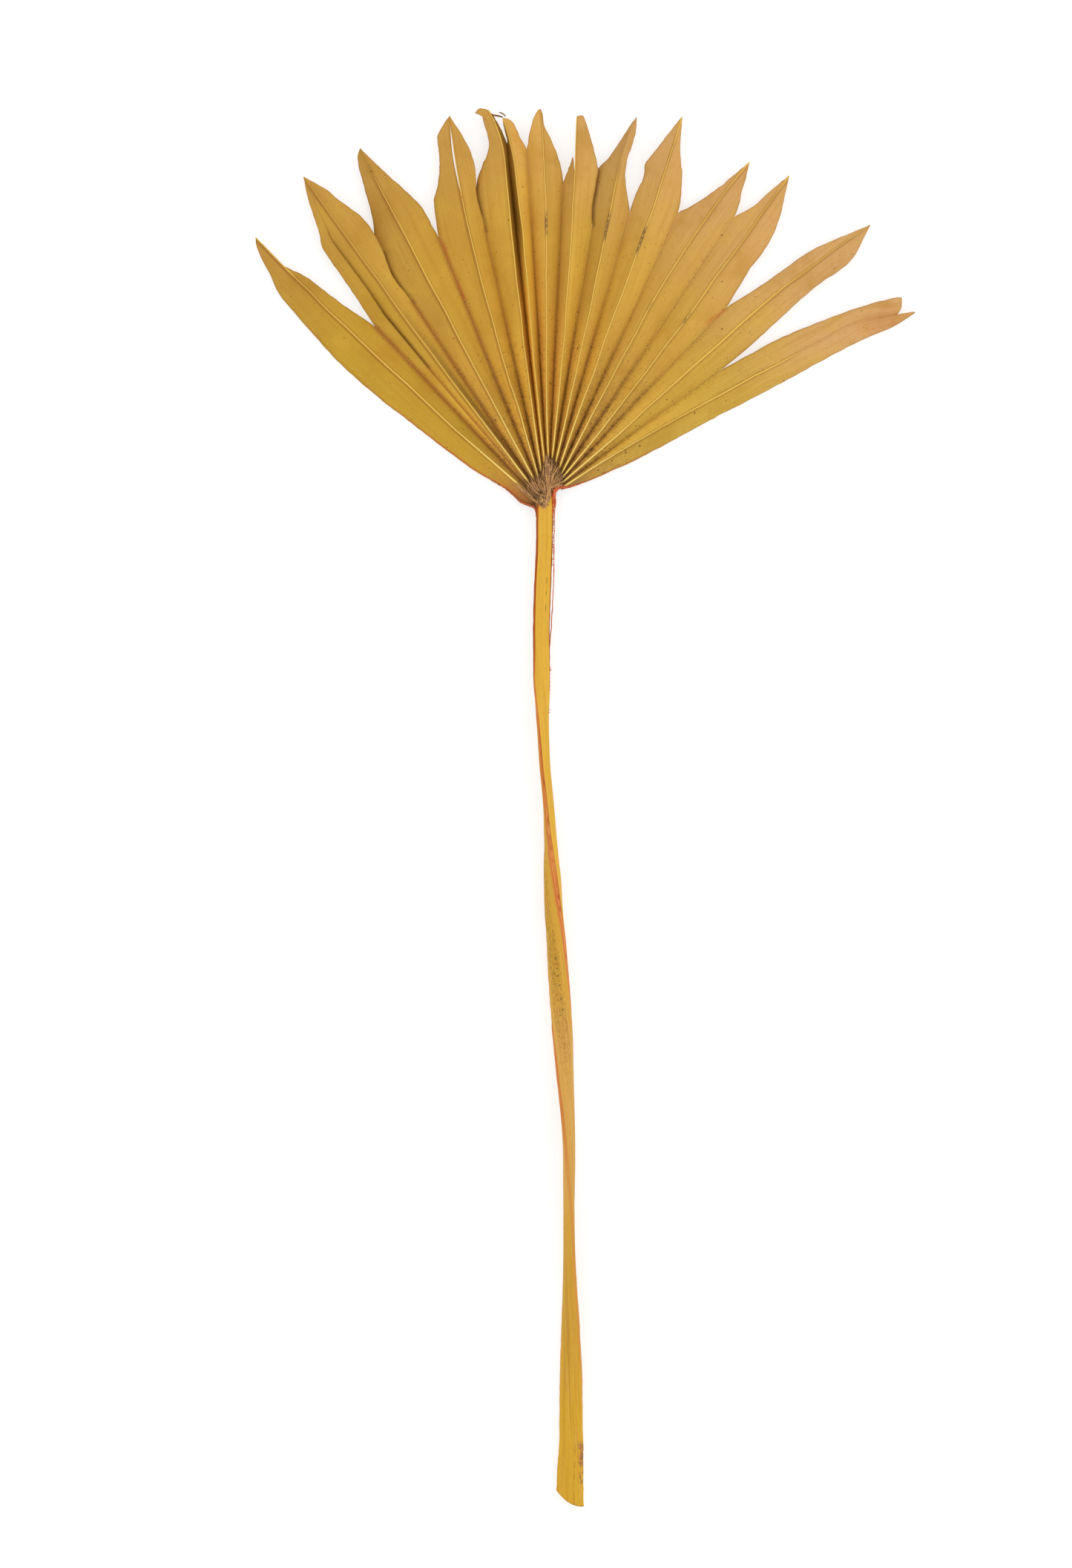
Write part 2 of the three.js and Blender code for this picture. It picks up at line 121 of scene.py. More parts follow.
# Half widths of the ribs at their roots, mm.
RIB_HALF = np.array([0.24, 0.24, 0.25, 0.26, 0.26, 0.27, 0.28, 0.28, 0.28, 0.28, 0.26, 0.25, 0.25, 0.2])
RIB_STANDS = 0.5  # mm above the sheet, at the hub
SHEET_MM = 0.4  # thickness of the dried sheet
OFF_FLOOR = 0.02  # mm, the least gap to the floor
WAVES, WAVE_SHARE = (6.1, 3.7), 0.012  # waves along a strip: lengths in mm, height as a share of its width
GROOVE_DEEP, GROOVE_WIDE = 0.1, 0.2  # mm, the groove beside a rib
FOLD_LOW, FOLD_CROWN = 1.5, 1.8  # mm, height of the folds at the hub, and how much more they gain
FAN_HALF, FAN_REACH = 115, 140  # mm from the hub to the sides and to the tips
ROW_REACH = 146  # mm from the hub to the last row, by which the row of a split is found
HOOK_SPAN = 0.15  # share of a rib that its hook takes up
KINK, NICK = 0.16, 0.09  # mm, size of the kinks in the ribs and of the nicks in the margins
EDGE_LOW, EDGE_LOW_AT, EDGE_BOW = 0.3, 0.62, 5  # an outer edge: lowest height, where, how bowed
COLUMNS, TORN_COLUMNS = 13, (7, 9)  # across a half, and across the two strips of a torn one
ROWS, CROWDING = 104, 1.3  # rows along each rib, closer together towards its tip
rows = 1 - (1 - np.arange(ROWS + 1) / ROWS) ** CROWDING
rng = np.random.default_rng(14)


def root_at(place):
    """Where a rib starts (whole places), a fold halfway between two, or one of the outer edges."""
    if place < 0:
        return LEFT_ROOT
    if place > len(ROOTS) - 1:
        return RIGHT_ROOT
    return (ROOTS[int(np.floor(place))] + ROOTS[int(np.ceil(place))]) / 2


def fold_height(x, y):
    """Height of the folds: it grows with the distance from the hub, most in the middle of the fan."""
    return FOLD_LOW + FOLD_CROWN * (1 - (x / FAN_HALF) ** 2) * np.minimum(1, np.hypot(x, y) / FAN_REACH)


def unit(vectors):
    """Vectors of any grid, each divided by its length."""
    return vectors / np.maximum(1e-9, np.linalg.norm(vectors, axis=-1, keepdims=True))


def smooth_path(points, shares):
    """Curve through the points: cubic stretches, each pulled by the root of its length, read at
    shares of the whole length."""
    points = np.asarray(points, float)
    p = np.vstack([2 * points[0] - points[1], points, 2 * points[-1] - points[-2]])
    pull = np.linalg.norm(np.diff(p, axis=0), axis=1)[:, None] ** 0.5
    a, b, c, d = p[:-3], p[1:-2], p[2:-1], p[3:]
    ab, bc, cd = pull[:-2], pull[1:-1], pull[2:]
    leave = ((b - a) / ab - (c - a) / (ab + bc) + (c - b) / bc) * bc
    reach = ((c - b) / bc - (d - b) / (bc + cd) + (d - c) / cd) * bc
    u = np.linspace(0, 1, 40, endpoint=False)[None, :, None]
    b, c, leave, reach = b[:, None], c[:, None], leave[:, None], reach[:, None]
    curve = b + leave * u + (3 * (c - b) - 2 * leave - reach) * u**2 + (2 * (b - c) + leave + reach) * u**3
    curve = np.vstack([curve.reshape(-1, points.shape[1]), points[-1:]])
    length = np.r_[0, np.cumsum(np.linalg.norm(np.diff(curve, axis=0), axis=1))]
    return np.column_stack([np.interp(shares * length[-1], length, axis) for axis in curve.T])


def rough_line(count, knots, size):
    """Smooth random offsets: normal draws at evenly spread knots, joined by straight stretches."""
    return np.interp(np.linspace(0, knots - 1, count), np.arange(knots), rng.normal(0, size, knots))


def rib_line(k):
    """Rib of segment k: straight from its root to its tip, bowed by a leaning parabola, hooked at
    its end, a little kinked, and raised above the folds by a long swell."""
    segment = SEGMENTS[k]
    root = root_at(k)
    way = np.array(segment["tip"]) - root
    ahead = way / np.hypot(*way)
    aside = segment["bow"] * 4 * rows * (1 - rows) * (1 + segment.get("skew", 0) * (2 * rows - 1))
    aside = aside + segment.get("hook", 0) * np.maximum(0, (rows - (1 - HOOK_SPAN)) / HOOK_SPAN) ** 2
    aside = aside + rough_line(ROWS + 1, 15, KINK) * np.sin(np.pi * rows)
    x = root[0] + way[0] * rows + aside * ahead[1]
    y = root[1] + way[1] * rows - aside * ahead[0]
    swell = 0.55 + 0.45 * np.sin(np.pi * rows**0.8) - 0.25 * rows**2
    return np.column_stack([x, y, fold_height(x, y) + segment["rise"] * swell])


def inner_line(k, side, rib):
    """Inner line of a half: the rib, or up to a share of it and then straight to a point of its own."""
    own_side, leave, point = SEGMENTS[k].get("own_end", (0, 0, None))
    if own_side != side:
        return rib
    first = np.searchsorted(rows, leave)
    share = np.maximum(0, (rows - rows[first]) / (1 - rows[first]))[:, None]
    end = np.array([*point, rib[first, 2] - 0.8])
    return np.where(share > 0, rib[first] + (end - rib[first]) * share, rib)


def margin_line(k, side, inner):
    """Margin of segment k: straight along the shared fold to the split, then freely, with small
    nicks, to the end of the inner line, sinking from that line's height; an outer edge is a low bow
    that comes close to the floor. Returns it and the share of the free stretch."""
    segment = SEGMENTS[k]
    place = k - 1 if side < 0 else k
    split = SPLITS[place] if 0 <= place < len(SPLITS) else None
    root = root_at(k + side / 2)
    first = 0
    if split:
        first = round(ROWS * (1 - (1 - np.hypot(*split) / ROW_REACH) ** (1 / CROWDING)))
    free = np.maximum(0, (rows - rows[first]) / (1 - rows[first]))
    lift = segment.get("lift", (0.4, 0.4))[0 if side < 0 else 1]
    path = smooth_path([split or root, *segment["left" if side < 0 else "right"], inner[-1, :2]], free)
    ahead = unit(np.gradient(path[first:], axis=0))
    nick = (rough_line(ROWS + 1, 80, NICK) * np.sin(np.pi * free) ** 0.5)[first:, None]
    path[first:] += nick * np.column_stack([ahead[:, 1], -ahead[:, 0]])
    if split:
        fold = root + (np.array(split) - root) * (rows / rows[first])[:, None]
        path = np.where((np.arange(ROWS + 1) < first)[:, None], fold, path)
        height = fold_height(*path.T) * (1 - free**2) + inner[:, 2] * free**2 + lift * np.sin(np.pi * free)
    else:
        edge = EDGE_LOW + EDGE_BOW * (free - EDGE_LOW_AT) ** 2
        height = edge * (1 - free**8) + inner[:, 2] * free**8
    return np.column_stack([path, height]), free


def across_line(points, line):
    """Distance of each point in a row from a line that crosses the rows, square to that line."""
    ahead = unit(np.gradient(line, axis=0))[:, None]
    off = points - line[:, None]
    return np.linalg.norm(off - (off * ahead).sum(2, keepdims=True) * ahead, axis=2)


def lamina(k, side, rib, inner, outer, free, columns):
    """One strip of a segment between two lines: ruled across, with columns crowding towards the
    rib, domed between its sides, waved lengthwise, and raised over the rib, with a groove beside it.
    Returns a grid of points and what is measured at each."""
    width = np.linalg.norm(outer - inner, axis=1)[:, None]
    crowd = 1 + 0.7 * np.clip((width - 3) / 8, 0, 1)
    share = np.linspace(0, 1, columns + 1)[None] ** crowd
    points = inner[:, None] + (outer - inner)[:, None] * share[..., None]
    from_rib = across_line(points, rib)
    t, free = (np.repeat(line[:, None], columns + 1, 1) for line in (rows, free))
    length = np.r_[0, np.cumsum(np.linalg.norm(np.diff(rib, axis=0), axis=1))][:, None]
    dome = rng.uniform(0.02, 0.06) * width * np.sin(np.pi * share)
    phase = rng.uniform(0, 6.28, 2)
    wave = np.sin(length / WAVES[0] + phase[0]) + np.sin(length / WAVES[1] + phase[1])
    measures = dict(
        rib_gap=from_rib, edge_gap=across_line(points, outer), along=t, free=free,
        grain_across=side * from_rib, grain_along=np.repeat(length, columns + 1, 1),
        rib_half=RIB_HALF[k] * (0.52 + 0.4 * np.exp(-t / 0.16)) * np.minimum(1, 0.3 + 25 * t),
        segment=np.full(t.shape, float(k)), side=np.full(t.shape, float(side)))
    points[..., 2] += dome + WAVE_SHARE * width * wave * np.sin(np.pi * share)
    crest = np.maximum(0, 1 - (from_rib / (1.3 * measures["rib_half"])) ** 2)
    groove = np.exp(-(((from_rib - 2 * measures["rib_half"]) / GROOVE_WIDE) ** 2))
    held = np.minimum(1, 4 * (1 - share))
    points[..., 2] += (RIB_STANDS * (1 - 0.6 * t) * crest - GROOVE_DEEP * groove * held) * (t < 0.999)
    return points, measures


def fan_strips():
    """All strips of the fan, and its ribs. A torn half has two strips, or one if it is torn off its
    rib, and a gap that opens and closes as a sine between the ends of its tear. The outer strip lies
    higher by the step."""
    strips, ribs = [], []
    for k in range(len(SEGMENTS)):
        rib = rib_line(k)
        ribs.append(rib)
        for side in (-1, 1):
            inner = inner_line(k, side, rib)
            margin, free = margin_line(k, side, inner)
            if (k, side) not in TEARS:
                strips.append(lamina(k, side, rib, inner, margin, free, COLUMNS))
                continue
            share, start, end, gap, step = TEARS[k, side]
            gape = np.sin(np.pi * np.clip((rows - start) / (end - start), 0, 1))[:, None]
            reach = np.linalg.norm(margin - rib, axis=1, keepdims=True)
            out = (margin - rib) / np.maximum(1e-6, reach)
            wide = np.minimum(gap, 0.3 * reach)
            up = np.array([0, 0, 1.0])
            line = rib + (margin - rib) * share
            if share > 0:
                low = line - gape * (0.25 * wide * out + 0.6 * step * up)
                strips.append(lamina(k, side, rib, rib, low, free, TORN_COLUMNS[0]))
            high = line + gape * (0.75 * wide * out + 0.4 * step * up)
            strips.append(lamina(k, side, rib, high, margin, free, TORN_COLUMNS[1]))
    return strips, ribs


def sheet_mesh(strips, thickness):
    """Joins the strips where their points meet, gives the sheet its thickness square to itself and
    walls its open edges. Corners carry the measures, so that they may jump across a fold."""
    grids = [grid.reshape(-1, 3) for grid, _ in strips]
    start = np.r_[0, np.cumsum([len(grid) for grid in grids])]
    triangles = []
    for (grid, measures), first in zip(strips, start):
        index = first + np.arange(grid.shape[0] * grid.shape[1]).reshape(grid.shape[:2])
        a, b, c, d = index[:-1, :-1], index[:-1, 1:], index[1:, 1:], index[1:, :-1]
        both = np.stack([np.stack([a, b, c], -1), np.stack([a, c, d], -1)]).reshape(-1, 3)
        triangles.append(both if measures["side"][0, 0] > 0 else both[:, ::-1])
    triangles = np.vstack(triangles)
    points, joined = np.unique(np.round(np.vstack(grids), 4), axis=0, return_inverse=True)
    joined = joined.reshape(-1)
    met = joined[triangles]
    whole = (met[:, 0] != met[:, 1]) & (met[:, 1] != met[:, 2]) & (met[:, 2] != met[:, 0])
    triangles, met = triangles[whole], met[whole]
    square = np.cross(points[met[:, 1]] - points[met[:, 0]], points[met[:, 2]] - points[met[:, 0]])
    normal = np.zeros_like(points)
    np.add.at(normal, met.ravel(), np.repeat(square, 3, 0))
    normal = normal / np.maximum(1e-12, np.linalg.norm(normal, axis=1, keepdims=True))
    top = points + normal * thickness / 2
    bottom = points - normal * thickness / 2
    bottom[:, 2] = np.maximum(OFF_FLOOR, bottom[:, 2])
    edge = np.vstack([triangles[:, [0, 1]], triangles[:, [1, 2]], triangles[:, [2, 0]]])
    edge_met = joined[edge]
    count = len(points)
    there, back = edge_met @ (count, 1), edge_met @ (1, count)
    is_open = ~np.isin(there, back)
    (a, b), (a_met, b_met) = edge[is_open].T, edge_met[is_open].T
    wall = np.vstack([np.column_stack([a_met, a_met + count, b_met + count]),
                      np.column_stack([a_met, b_met + count, b_met])])
    faces = np.vstack([met, met[:, ::-1] + count, wall])
    wall_corners = np.vstack([np.column_stack([a, a, b]), np.column_stack([a, b, b])])
    corners = np.vstack([triangles, triangles[:, ::-1], wall_corners])
    smooth = np.r_[np.ones(2 * len(met), bool), np.zeros(len(wall), bool)]
    return np.vstack([top, bottom]), faces, corners.ravel(), smooth


def add_mesh(name, points, faces, smooth=None):
    """A new object from points in mm from the hub and triangles; smooth says which faces shade so."""
    mesh = bpy.data.meshes.new(name)
    mesh.vertices.add(len(points))
    mesh.vertices.foreach_set("co", ((points + HUB) / 1000).ravel())
    mesh.loops.add(faces.size)
    mesh.loops.foreach_set("vertex_index", faces.ravel().astype(np.int32))
    mesh.polygons.add(len(faces))
    mesh.polygons.foreach_set("loop_start", np.arange(0, faces.size, 3, dtype=np.int32))
    mesh.polygons.foreach_set("use_smooth", np.ones(len(faces), bool) if smooth is None else smooth)
    mesh.update()
    mesh.validate()
    piece = bpy.data.objects.new(name, mesh)
    bpy.context.scene.collection.objects.link(piece)
    return piece


def set_measure(piece, name, values, domain="POINT"):
    """Stores one number, or a row of three, for each point or corner of a piece."""
    kind, field = ("FLOAT", "value") if values.ndim == 1 else ("FLOAT_VECTOR", "vector")
    stored = piece.data.attributes.new(name, kind, domain)
    stored.data.foreach_set(field, values.ravel().astype(np.float32))


def srgb(red, green, blue):
    """Linear colour of an sRGB one given in 0 to 255."""
    share = np.array([red, green, blue]) / 255
    linear = np.where(share <= 0.04045, share / 12.92, ((share + 0.055) / 1.055) ** 2.4)
    return (*linear.tolist(), 1.0)


class Shade:
    """One output in a material's nodes. Sums, products and the like add Math nodes."""

    def __init__(self, tree, socket=None):
        self.tree = tree
        self.socket = socket

    def node(self, kind, settings, sockets, output=0):
        """Adds a node of that kind: first its settings, then the values or links of its sockets."""
        made = self.tree.nodes.new(kind)
        for name, setting in settings.items():
            setattr(made, name, setting)
        for name, value in sockets.items():
            if isinstance(value, Shade):
                self.tree.links.new(value.socket, made.inputs[name])
            else:
                made.inputs[name].default_value = value
        return Shade(self.tree, made.outputs[output])

    def math(self, operation, first, second=0.0):
        return self.node("ShaderNodeMath", {"operation": operation}, {0: first, 1: second})

    def __add__(self, other):
        return self.math("ADD", self, other)

    __radd__ = __add__

    def __sub__(self, other):
        return self.math("SUBTRACT", self, other)

    def __rsub__(self, other):
        return self.math("SUBTRACT", other, self)

    def __mul__(self, other):
        return self.math("MULTIPLY", self, other)

    __rmul__ = __mul__

    def __truediv__(self, other):
        return self.math("DIVIDE", self, other)

    def __abs__(self):
        return self.math("ABSOLUTE", self)

    def least(self, other):
        return self.math("MINIMUM", self, other)

    def step(self, low, high):
        """0 below low, 1 above high, smooth between; the other way round if low is the greater."""
        return self.node("ShaderNodeMapRange", {"interpolation_type": "SMOOTHSTEP"},
                         {"Value": self, "From Min": low, "From Max": high})

    def between(self, low, rise, fall, high):
        """1 from rise to fall, 0 below low and above high, smooth between."""
        return self.step(low, rise) * self.step(high, fall)

    def mix(self, colour, other):
        """From one colour to another by this share."""
        return self.node("ShaderNodeMix", {"data_type": "RGBA", "clamp_factor": True},
                         {0: self, 6: colour, 7: other}, output=2)

    def blend(self, colour, other):
        """From one sRGB colour to another by this share."""
        return self.mix(srgb(*colour), srgb(*other))

    def measure(self, name):
        """A number that the piece carries."""
        return self.node("ShaderNodeAttribute", {"attribute_name": name}, {}, 2)

    def row(self, name):
        """A row of three numbers that the piece carries."""
        return self.node("ShaderNodeAttribute", {"attribute_name": name}, {}, 1)

    def place(self):
        """Where the point is, in mm."""
        return self.node("ShaderNodeTexCoord", {}, {}, 3).spread(1000, 1000, 1000)

    def parts(self):
        """The three axes of a vector."""
        first = self.node("ShaderNodeSeparateXYZ", {}, {0: self})
        return [Shade(self.tree, output) for output in first.socket.node.outputs]

    def vector(self, operation, *others, output=0):
        """Vector Math on this vector and others."""
        sockets = dict(enumerate((self, *others)))
        return self.node("ShaderNodeVectorMath", {"operation": operation}, sockets, output)

    def spread(self, x, y, z):
        """This vector with each axis scaled."""
        return self.vector("MULTIPLY", (x, y, z))

    def noise(self, scale, detail=2.0, rough=0.5, output=0):
        """Cloudy noise from 0 to 1 over this vector; output 1 is three of them."""
        return self.node("ShaderNodeTexNoise", {"noise_dimensions": "3D"},
                         {"Vector": self, "Scale": scale, "Detail": detail, "Roughness": rough}, output)

    def dots(self, scale, size, crowding):
        """Dots of several sizes over this vector's x and y, one to a cell at most, in the share of
        cells that crowding gives."""
        cell = self.node("ShaderNodeTexVoronoi", {"feature": "F1", "voronoi_dimensions": "2D"},
                         {"Vector": self, "Scale": scale})
        chance, bigness, _ = Shade(self.tree, cell.socket.node.outputs["Color"]).parts()
        there = self.math("LESS_THAN", chance, crowding)
        return (cell / (size * (0.5 + 0.6 * bigness))).step(1.0, 0.45) * there

    def bump(self, strength, distance):
        """A relief of this height, its distance in metres, for a surface's Normal."""
        return self.node("ShaderNodeBump", {}, {"Strength": strength, "Distance": distance, "Height": self})


def layered(colour, *layers):
    """Colours laid one over another: each layer is a share, and the sRGB colour or shade it brings."""
    for share, over in layers:
        colour = share.mix(colour, over if isinstance(over, Shade) else srgb(*over))
    return colour


def new_finish(name):
    """A material with one Principled surface, which is returned with a shade to start from."""
    material = bpy.data.materials.new(name)
    material.use_nodes = True
    surface = material.node_tree.nodes["Principled BSDF"]
    return material, surface, Shade(material.node_tree)


def feed(surface, **sockets):
    """Links or sets the surface's sockets; a name's underscores stand for spaces."""
    for name, value in sockets.items():
        target = surface.inputs[name.replace("_", " ")]
        if isinstance(value, Shade):
            value.tree.links.new(value.socket, target)
        else:
            target.default_value = value


strips, ribs = fan_strips()
points, faces, corners, smooth = sheet_mesh(strips, SHEET_MM)
blade = add_mesh("leaf_blade", points, faces, smooth)
measured = {name: np.concatenate([m[name].ravel() for _, m in strips]) for name in strips[0][1]}
spot = np.vstack([grid.reshape(-1, 3) for grid, _ in strips])[:, :2]
reach = np.linalg.norm(spot, axis=1)
t = measured["along"]
side = measured["side"]
k = measured["segment"].astype(int)

# Looks of each segment from left to right: where along it the pink of its tip is, and how much; how
# green its middle is; where its pale rib comes out of the dust, mm from the hub, and its end; how
# dusty its foot is; the painted light and shade it gets near the hub, where its steep pleats lie in
# shade; how light its tip is. FOLD_DARK is the painted shade and rusty colour of the folds, with the
# two outer edges. HALF_LIGHT is painted light and shade on single halves, by how they face the lamp.
PINK_FROM = np.array([0.8, 0.8, 0.8, 0.8, 0.8, 0.8, 0.8, 0.78, 0.76, 0.74, 0.68, 0.66, 0.62, 0.64])
PINK = np.array([0.2, 0.2, 0.3, 0.35, 0.4, 0.45, 0.5, 0.7, 0.9, 0.9, 1.0, 1.0, 0.9, 1.0])
GREEN = np.array([1.0, 0.9, 0.4, 0.2, 0.3, 0.3, 0.3, 0.3, 0.3, 0.3, 0.3, 0.4, 0.7, 0.8])
RIB_FROM = np.array([12.5, 9.5, 9.0, 7.0, 5.0, 0, 0, 0, 0, 0, 0, 0, 0, 0])
RIB_END = np.array([1.1, 0.99, 0.92, 0.97, 1.1, 1.1, 0.95, 1.1, 0.84, 1.1, 1.1, 1.1, 0.97, 0.72])
DUST = np.array([0.4, 0.7, 0.9, 1.0, 1.0, 1.0, 1.0, 1.0, 1.1, 1.2, 1.4, 1.5, 1.3, 0.6])
LIGHT = np.array([1.0, 1.0, 1.02, 1.04, 1.08, 1.1, 1.12, 1.12, 1.1, 1.06, 1.04, 1.02, 0.97, 0.95])
TIP_LIGHT = np.array([0.88, 0.91, 0.91, 0.94, 0.97, 1.0, 1.0, 0.93, 0.96, 0.95, 1.0, 1.0, 0.98, 1.0])
FOLD_DARK = np.array([0, 1.0, 0.95, 0.85, 0.6, 0.5, 0.4, 0.4, 0.45, 0.4, 0.4, 0.4, 0.35, 0.2, 0])
HALF_LIGHT = {(1, 1): 1.08, (2, -1): 0.94, (3, -1): 0.98, (3, 1): 1.03, (5, 1): 1.14, (6, -1): 1.16,
              (7, 1): 1.09, (8, -1): 0.88, (9, 1): 1.1, (11, 1): 1.05}
WORN = [  # dark, worn stretches of ribs: segment, start and end along it, how much
    (6, 0.63, 0.69, 1), (8, 0.63, 0.71, 1), (9, 0.6, 0.68, 1), (11, 0.5, 0.54, 0.6), (10, 0.5, 0.52, 0.4)]
OVERLAPS = [  # segments that lie in the shadow of a neighbour's margin, and that margin
    (2, [(-49.5, 70), (-52, 73), (-55, 76.6), (-57, 80), (-58.5, 83.6), (-60, 88)]),
    (4, [(-23, 96), (-24.5, 102), (-25.8, 108), (-26.3, 113)]),
    (8, [(16, 98), (16.2, 104), (17, 111), (17.8, 117)])]


def eased(value, low, high):
    """0 below low, 1 above high, smooth between."""
    share = np.clip((value - low) / (high - low), 0, 1)
    return share * share * (3 - 2 * share)


def near_line(line, width):
    """1 on a line over the blade, falling to 0 at that width from it, for every point of it."""
    gap = np.full(len(spot), 1e9)
    for a, b in zip(np.array(line[:-1], float), np.array(line[1:], float)):
        way = b - a
        share = np.clip(((spot - a) @ way) / (way @ way), 0, 1)
        gap = np.minimum(gap, np.linalg.norm(spot - a - share[:, None] * way, axis=1))
    return 1 - eased(gap, 0, width)


def half(segment, which):
    """Which points are on one half of a segment: -1 its left, 1 its right."""
    return (k == segment) & (side == which)


outer = half(0, -1) | half(13, 1)
rim = outer * np.where(k == 0, 1 - eased(reach, 30, 95), 1 - eased(reach, 14, 60))
pink = np.maximum(PINK[k] * eased(t, PINK_FROM[k] - 0.2, PINK_FROM[k] + 0.25),
                  0.6 * half(12, -1) * eased(t, 0.4, 0.7))
green = np.maximum(GREEN[k], 0.6 * np.isin(k, (7, 9, 11)) * (side > 0))
green = green * eased(t, 0.05, 0.25) * (1 - eased(t, 0.6, 0.95))
rib_there = 1 - eased(t, RIB_END[k] - 0.05, RIB_END[k] + 0.03)
rib_there = rib_there * np.where(RIB_FROM[k] > 0, eased(reach, RIB_FROM[k] - 1.5, RIB_FROM[k] + 1), 1)
worn = np.maximum.reduce([
    much * (k == segment) * eased(t, first, first + 0.02) * (1 - eased(t, last, last + 0.02))
    for segment, first, last, much in WORN])
# Painted shade on the walls of the deep, narrow fold between the fifth and sixth segments.
deep_fold_shade = half(4, 1) * eased(t, 0.08, 0.3) + half(5, -1) * eased(t, 0.45, 0.75)
stain = np.maximum.reduce([
    near_line([(-39.7, 91), (-37, 82), (-31.5, 71.7)], 2.0) * (k == 3),
    0.7 * near_line([(57, 62), (60.5, 64.5), (63.7, 67)], 0.9),
    0.22 * near_line([(117, 61), (124, 64)], 7),
    0.35 * near_line([(-15, 1.5), (-9, -1.2), (-5.5, -3)], 4) * outer])
# Where the second segment's tear runs, moved a little towards its rib, for the painted shadow beside it.
torn = [grid for grid, m in strips if m["segment"][0, 0] == 1 and m["side"][0, 0] < 0][1]
tear_line = torn[(rows > 0.42) & (rows < 0.82), 0, :2] + (0.4, 0.3)
# Painted shade in the crevice right of the second rib, starting just out from the hub.
crevice_shade = half(1, 1) * np.exp(-((measured["rib_gap"] - 1.2) / 1.3) ** 2) * eased(reach, 8, 11)
# Painted shadow: under margins that lie over a neighbour, along the second segment's tear where its outer
# strip lies over the inner one, and in the crevice right of the second rib near the hub; with it a faint
# real dark scar along the rib of the last segment.
shadow_and_scar = np.maximum.reduce([
    *(0.9 * near_line(line, 1.7) * (k == segment) for segment, line in OVERLAPS),
    (0.8 - 0.5 * eased(t, 0.58, 0.68)) * near_line(tear_line, 1.1) * (k == 1),
    0.2 * near_line([(62, 36.6), (70.4, 41), (80.2, 46.7)], 0.8),
    crevice_shade * (1 - 0.9 * eased(reach, 28, 105))])
dust = DUST[k] * (1 - eased(reach, 10, 48 + 24 * ((k > 1) & (k < 12)))) * eased(t, 0.0, 0.04)
# Painted light and shade: near the hub each segment is lightened where its steep pleats lie in shade, the
# sixth segment's left wall most, and a few are darkened; there the left halves, facing away from the lamp,
# are lightened and the right ones darkened. Single halves are lightened and darkened by how they face the
# lamp. The tips get a tone of their own.
painted_light_and_tone = 1 + (LIGHT[k] - 1) * (1 - eased(reach, 50, 110)) + (TIP_LIGHT[k] - 1) * eased(t, 0.6, 0.9)
painted_light_and_tone = painted_light_and_tone * (1 + 0.6 * half(5, -1) * (1 - eased(t, 0.45, 0.7)))
left_light = np.where(k == 0, 0.05, 0.36 + 0.2 * np.isin(k, (6, 7)))
near_light = np.where(side < 0, left_light, np.where(k == 0, -0.15, -0.06))
painted_light_and_tone = painted_light_and_tone * (1 + near_light * (1 - eased(reach, 20, 80)))
for (segment, which), share in HALF_LIGHT.items():
    painted_light_and_tone = np.where(half(segment, which), painted_light_and_tone * (1 + (share - 1) * eased(t, 0.3, 0.5)), painted_light_and_tone)
tan = rng.uniform(-0.6, 1, (14, 2))[k, (side > 0).astype(int)]
fold = k + (side > 0)
# How much painted shade and rusty colour each fold gets; on the folds right of the middle it fades away
# from the hub.
fold_dark = FOLD_DARK[fold] * np.where(fold > 7, 1 - 0.7 * eased(reach, 40, 85), 1)

for name, values in dict(
    rib_gap=measured["rib_gap"], edge_gap=measured["edge_gap"], hub_gap=reach, dust=dust,
    grain=(measured["grain_across"], measured["grain_along"], 40 * k),
    growth=(t, measured["free"] > 0, rim), tone=(pink, green, stain),
    rib_state=(rib_there, worn, measured["rib_half"]), painted_light_and_tones=(painted_light_and_tone, k / 13, tan),
    painted_shade_and_marks=(shadow_and_scar, deep_fold_shade, fold_dark),
).items():
    stacked = np.column_stack(values) if isinstance(values, tuple) else values
    set_measure(blade, name, stacked[corners], "CORNER")

dried, surface, start = new_finish("dried_blade")
place = start.place()
rib_gap = start.measure("rib_gap")
edge_gap = start.measure("edge_gap")
hub_gap = start.measure("hub_gap")
dusted = start.measure("dust")
grain = start.row("grain")
from_rib = grain.parts()[0]
along, is_free, on_rim = start.row("growth").parts()
pinkish, greenish, stained = start.row("tone").parts()
ribbed, scuffed, rib_half = start.row("rib_state").parts()
painted_light_tone_factor, rightwards, tanned = start.row("painted_light_and_tones").parts()
# Painted shadow with a scar, painted shade of the deep fold, and painted shade with rust along the folds.
painted_shadow_and_scar, shaded, creased = start.row("painted_shade_and_marks").parts()

streak = grain.spread(1.6, 0.035, 1).noise(1, 4, 0.6)
fine = grain.spread(6.0, 0.06, 1).noise(1, 2, 0.6)
band = grain.spread(0.32, 0.01, 1).noise(1, 2, 0.5)
cloud = place.noise(0.06, 3, 0.55)
mottle = place.noise(0.5, 4, 0.6)
folded = 1 - is_free
near_fold = edge_gap.step(2.2, 0.3) * folded
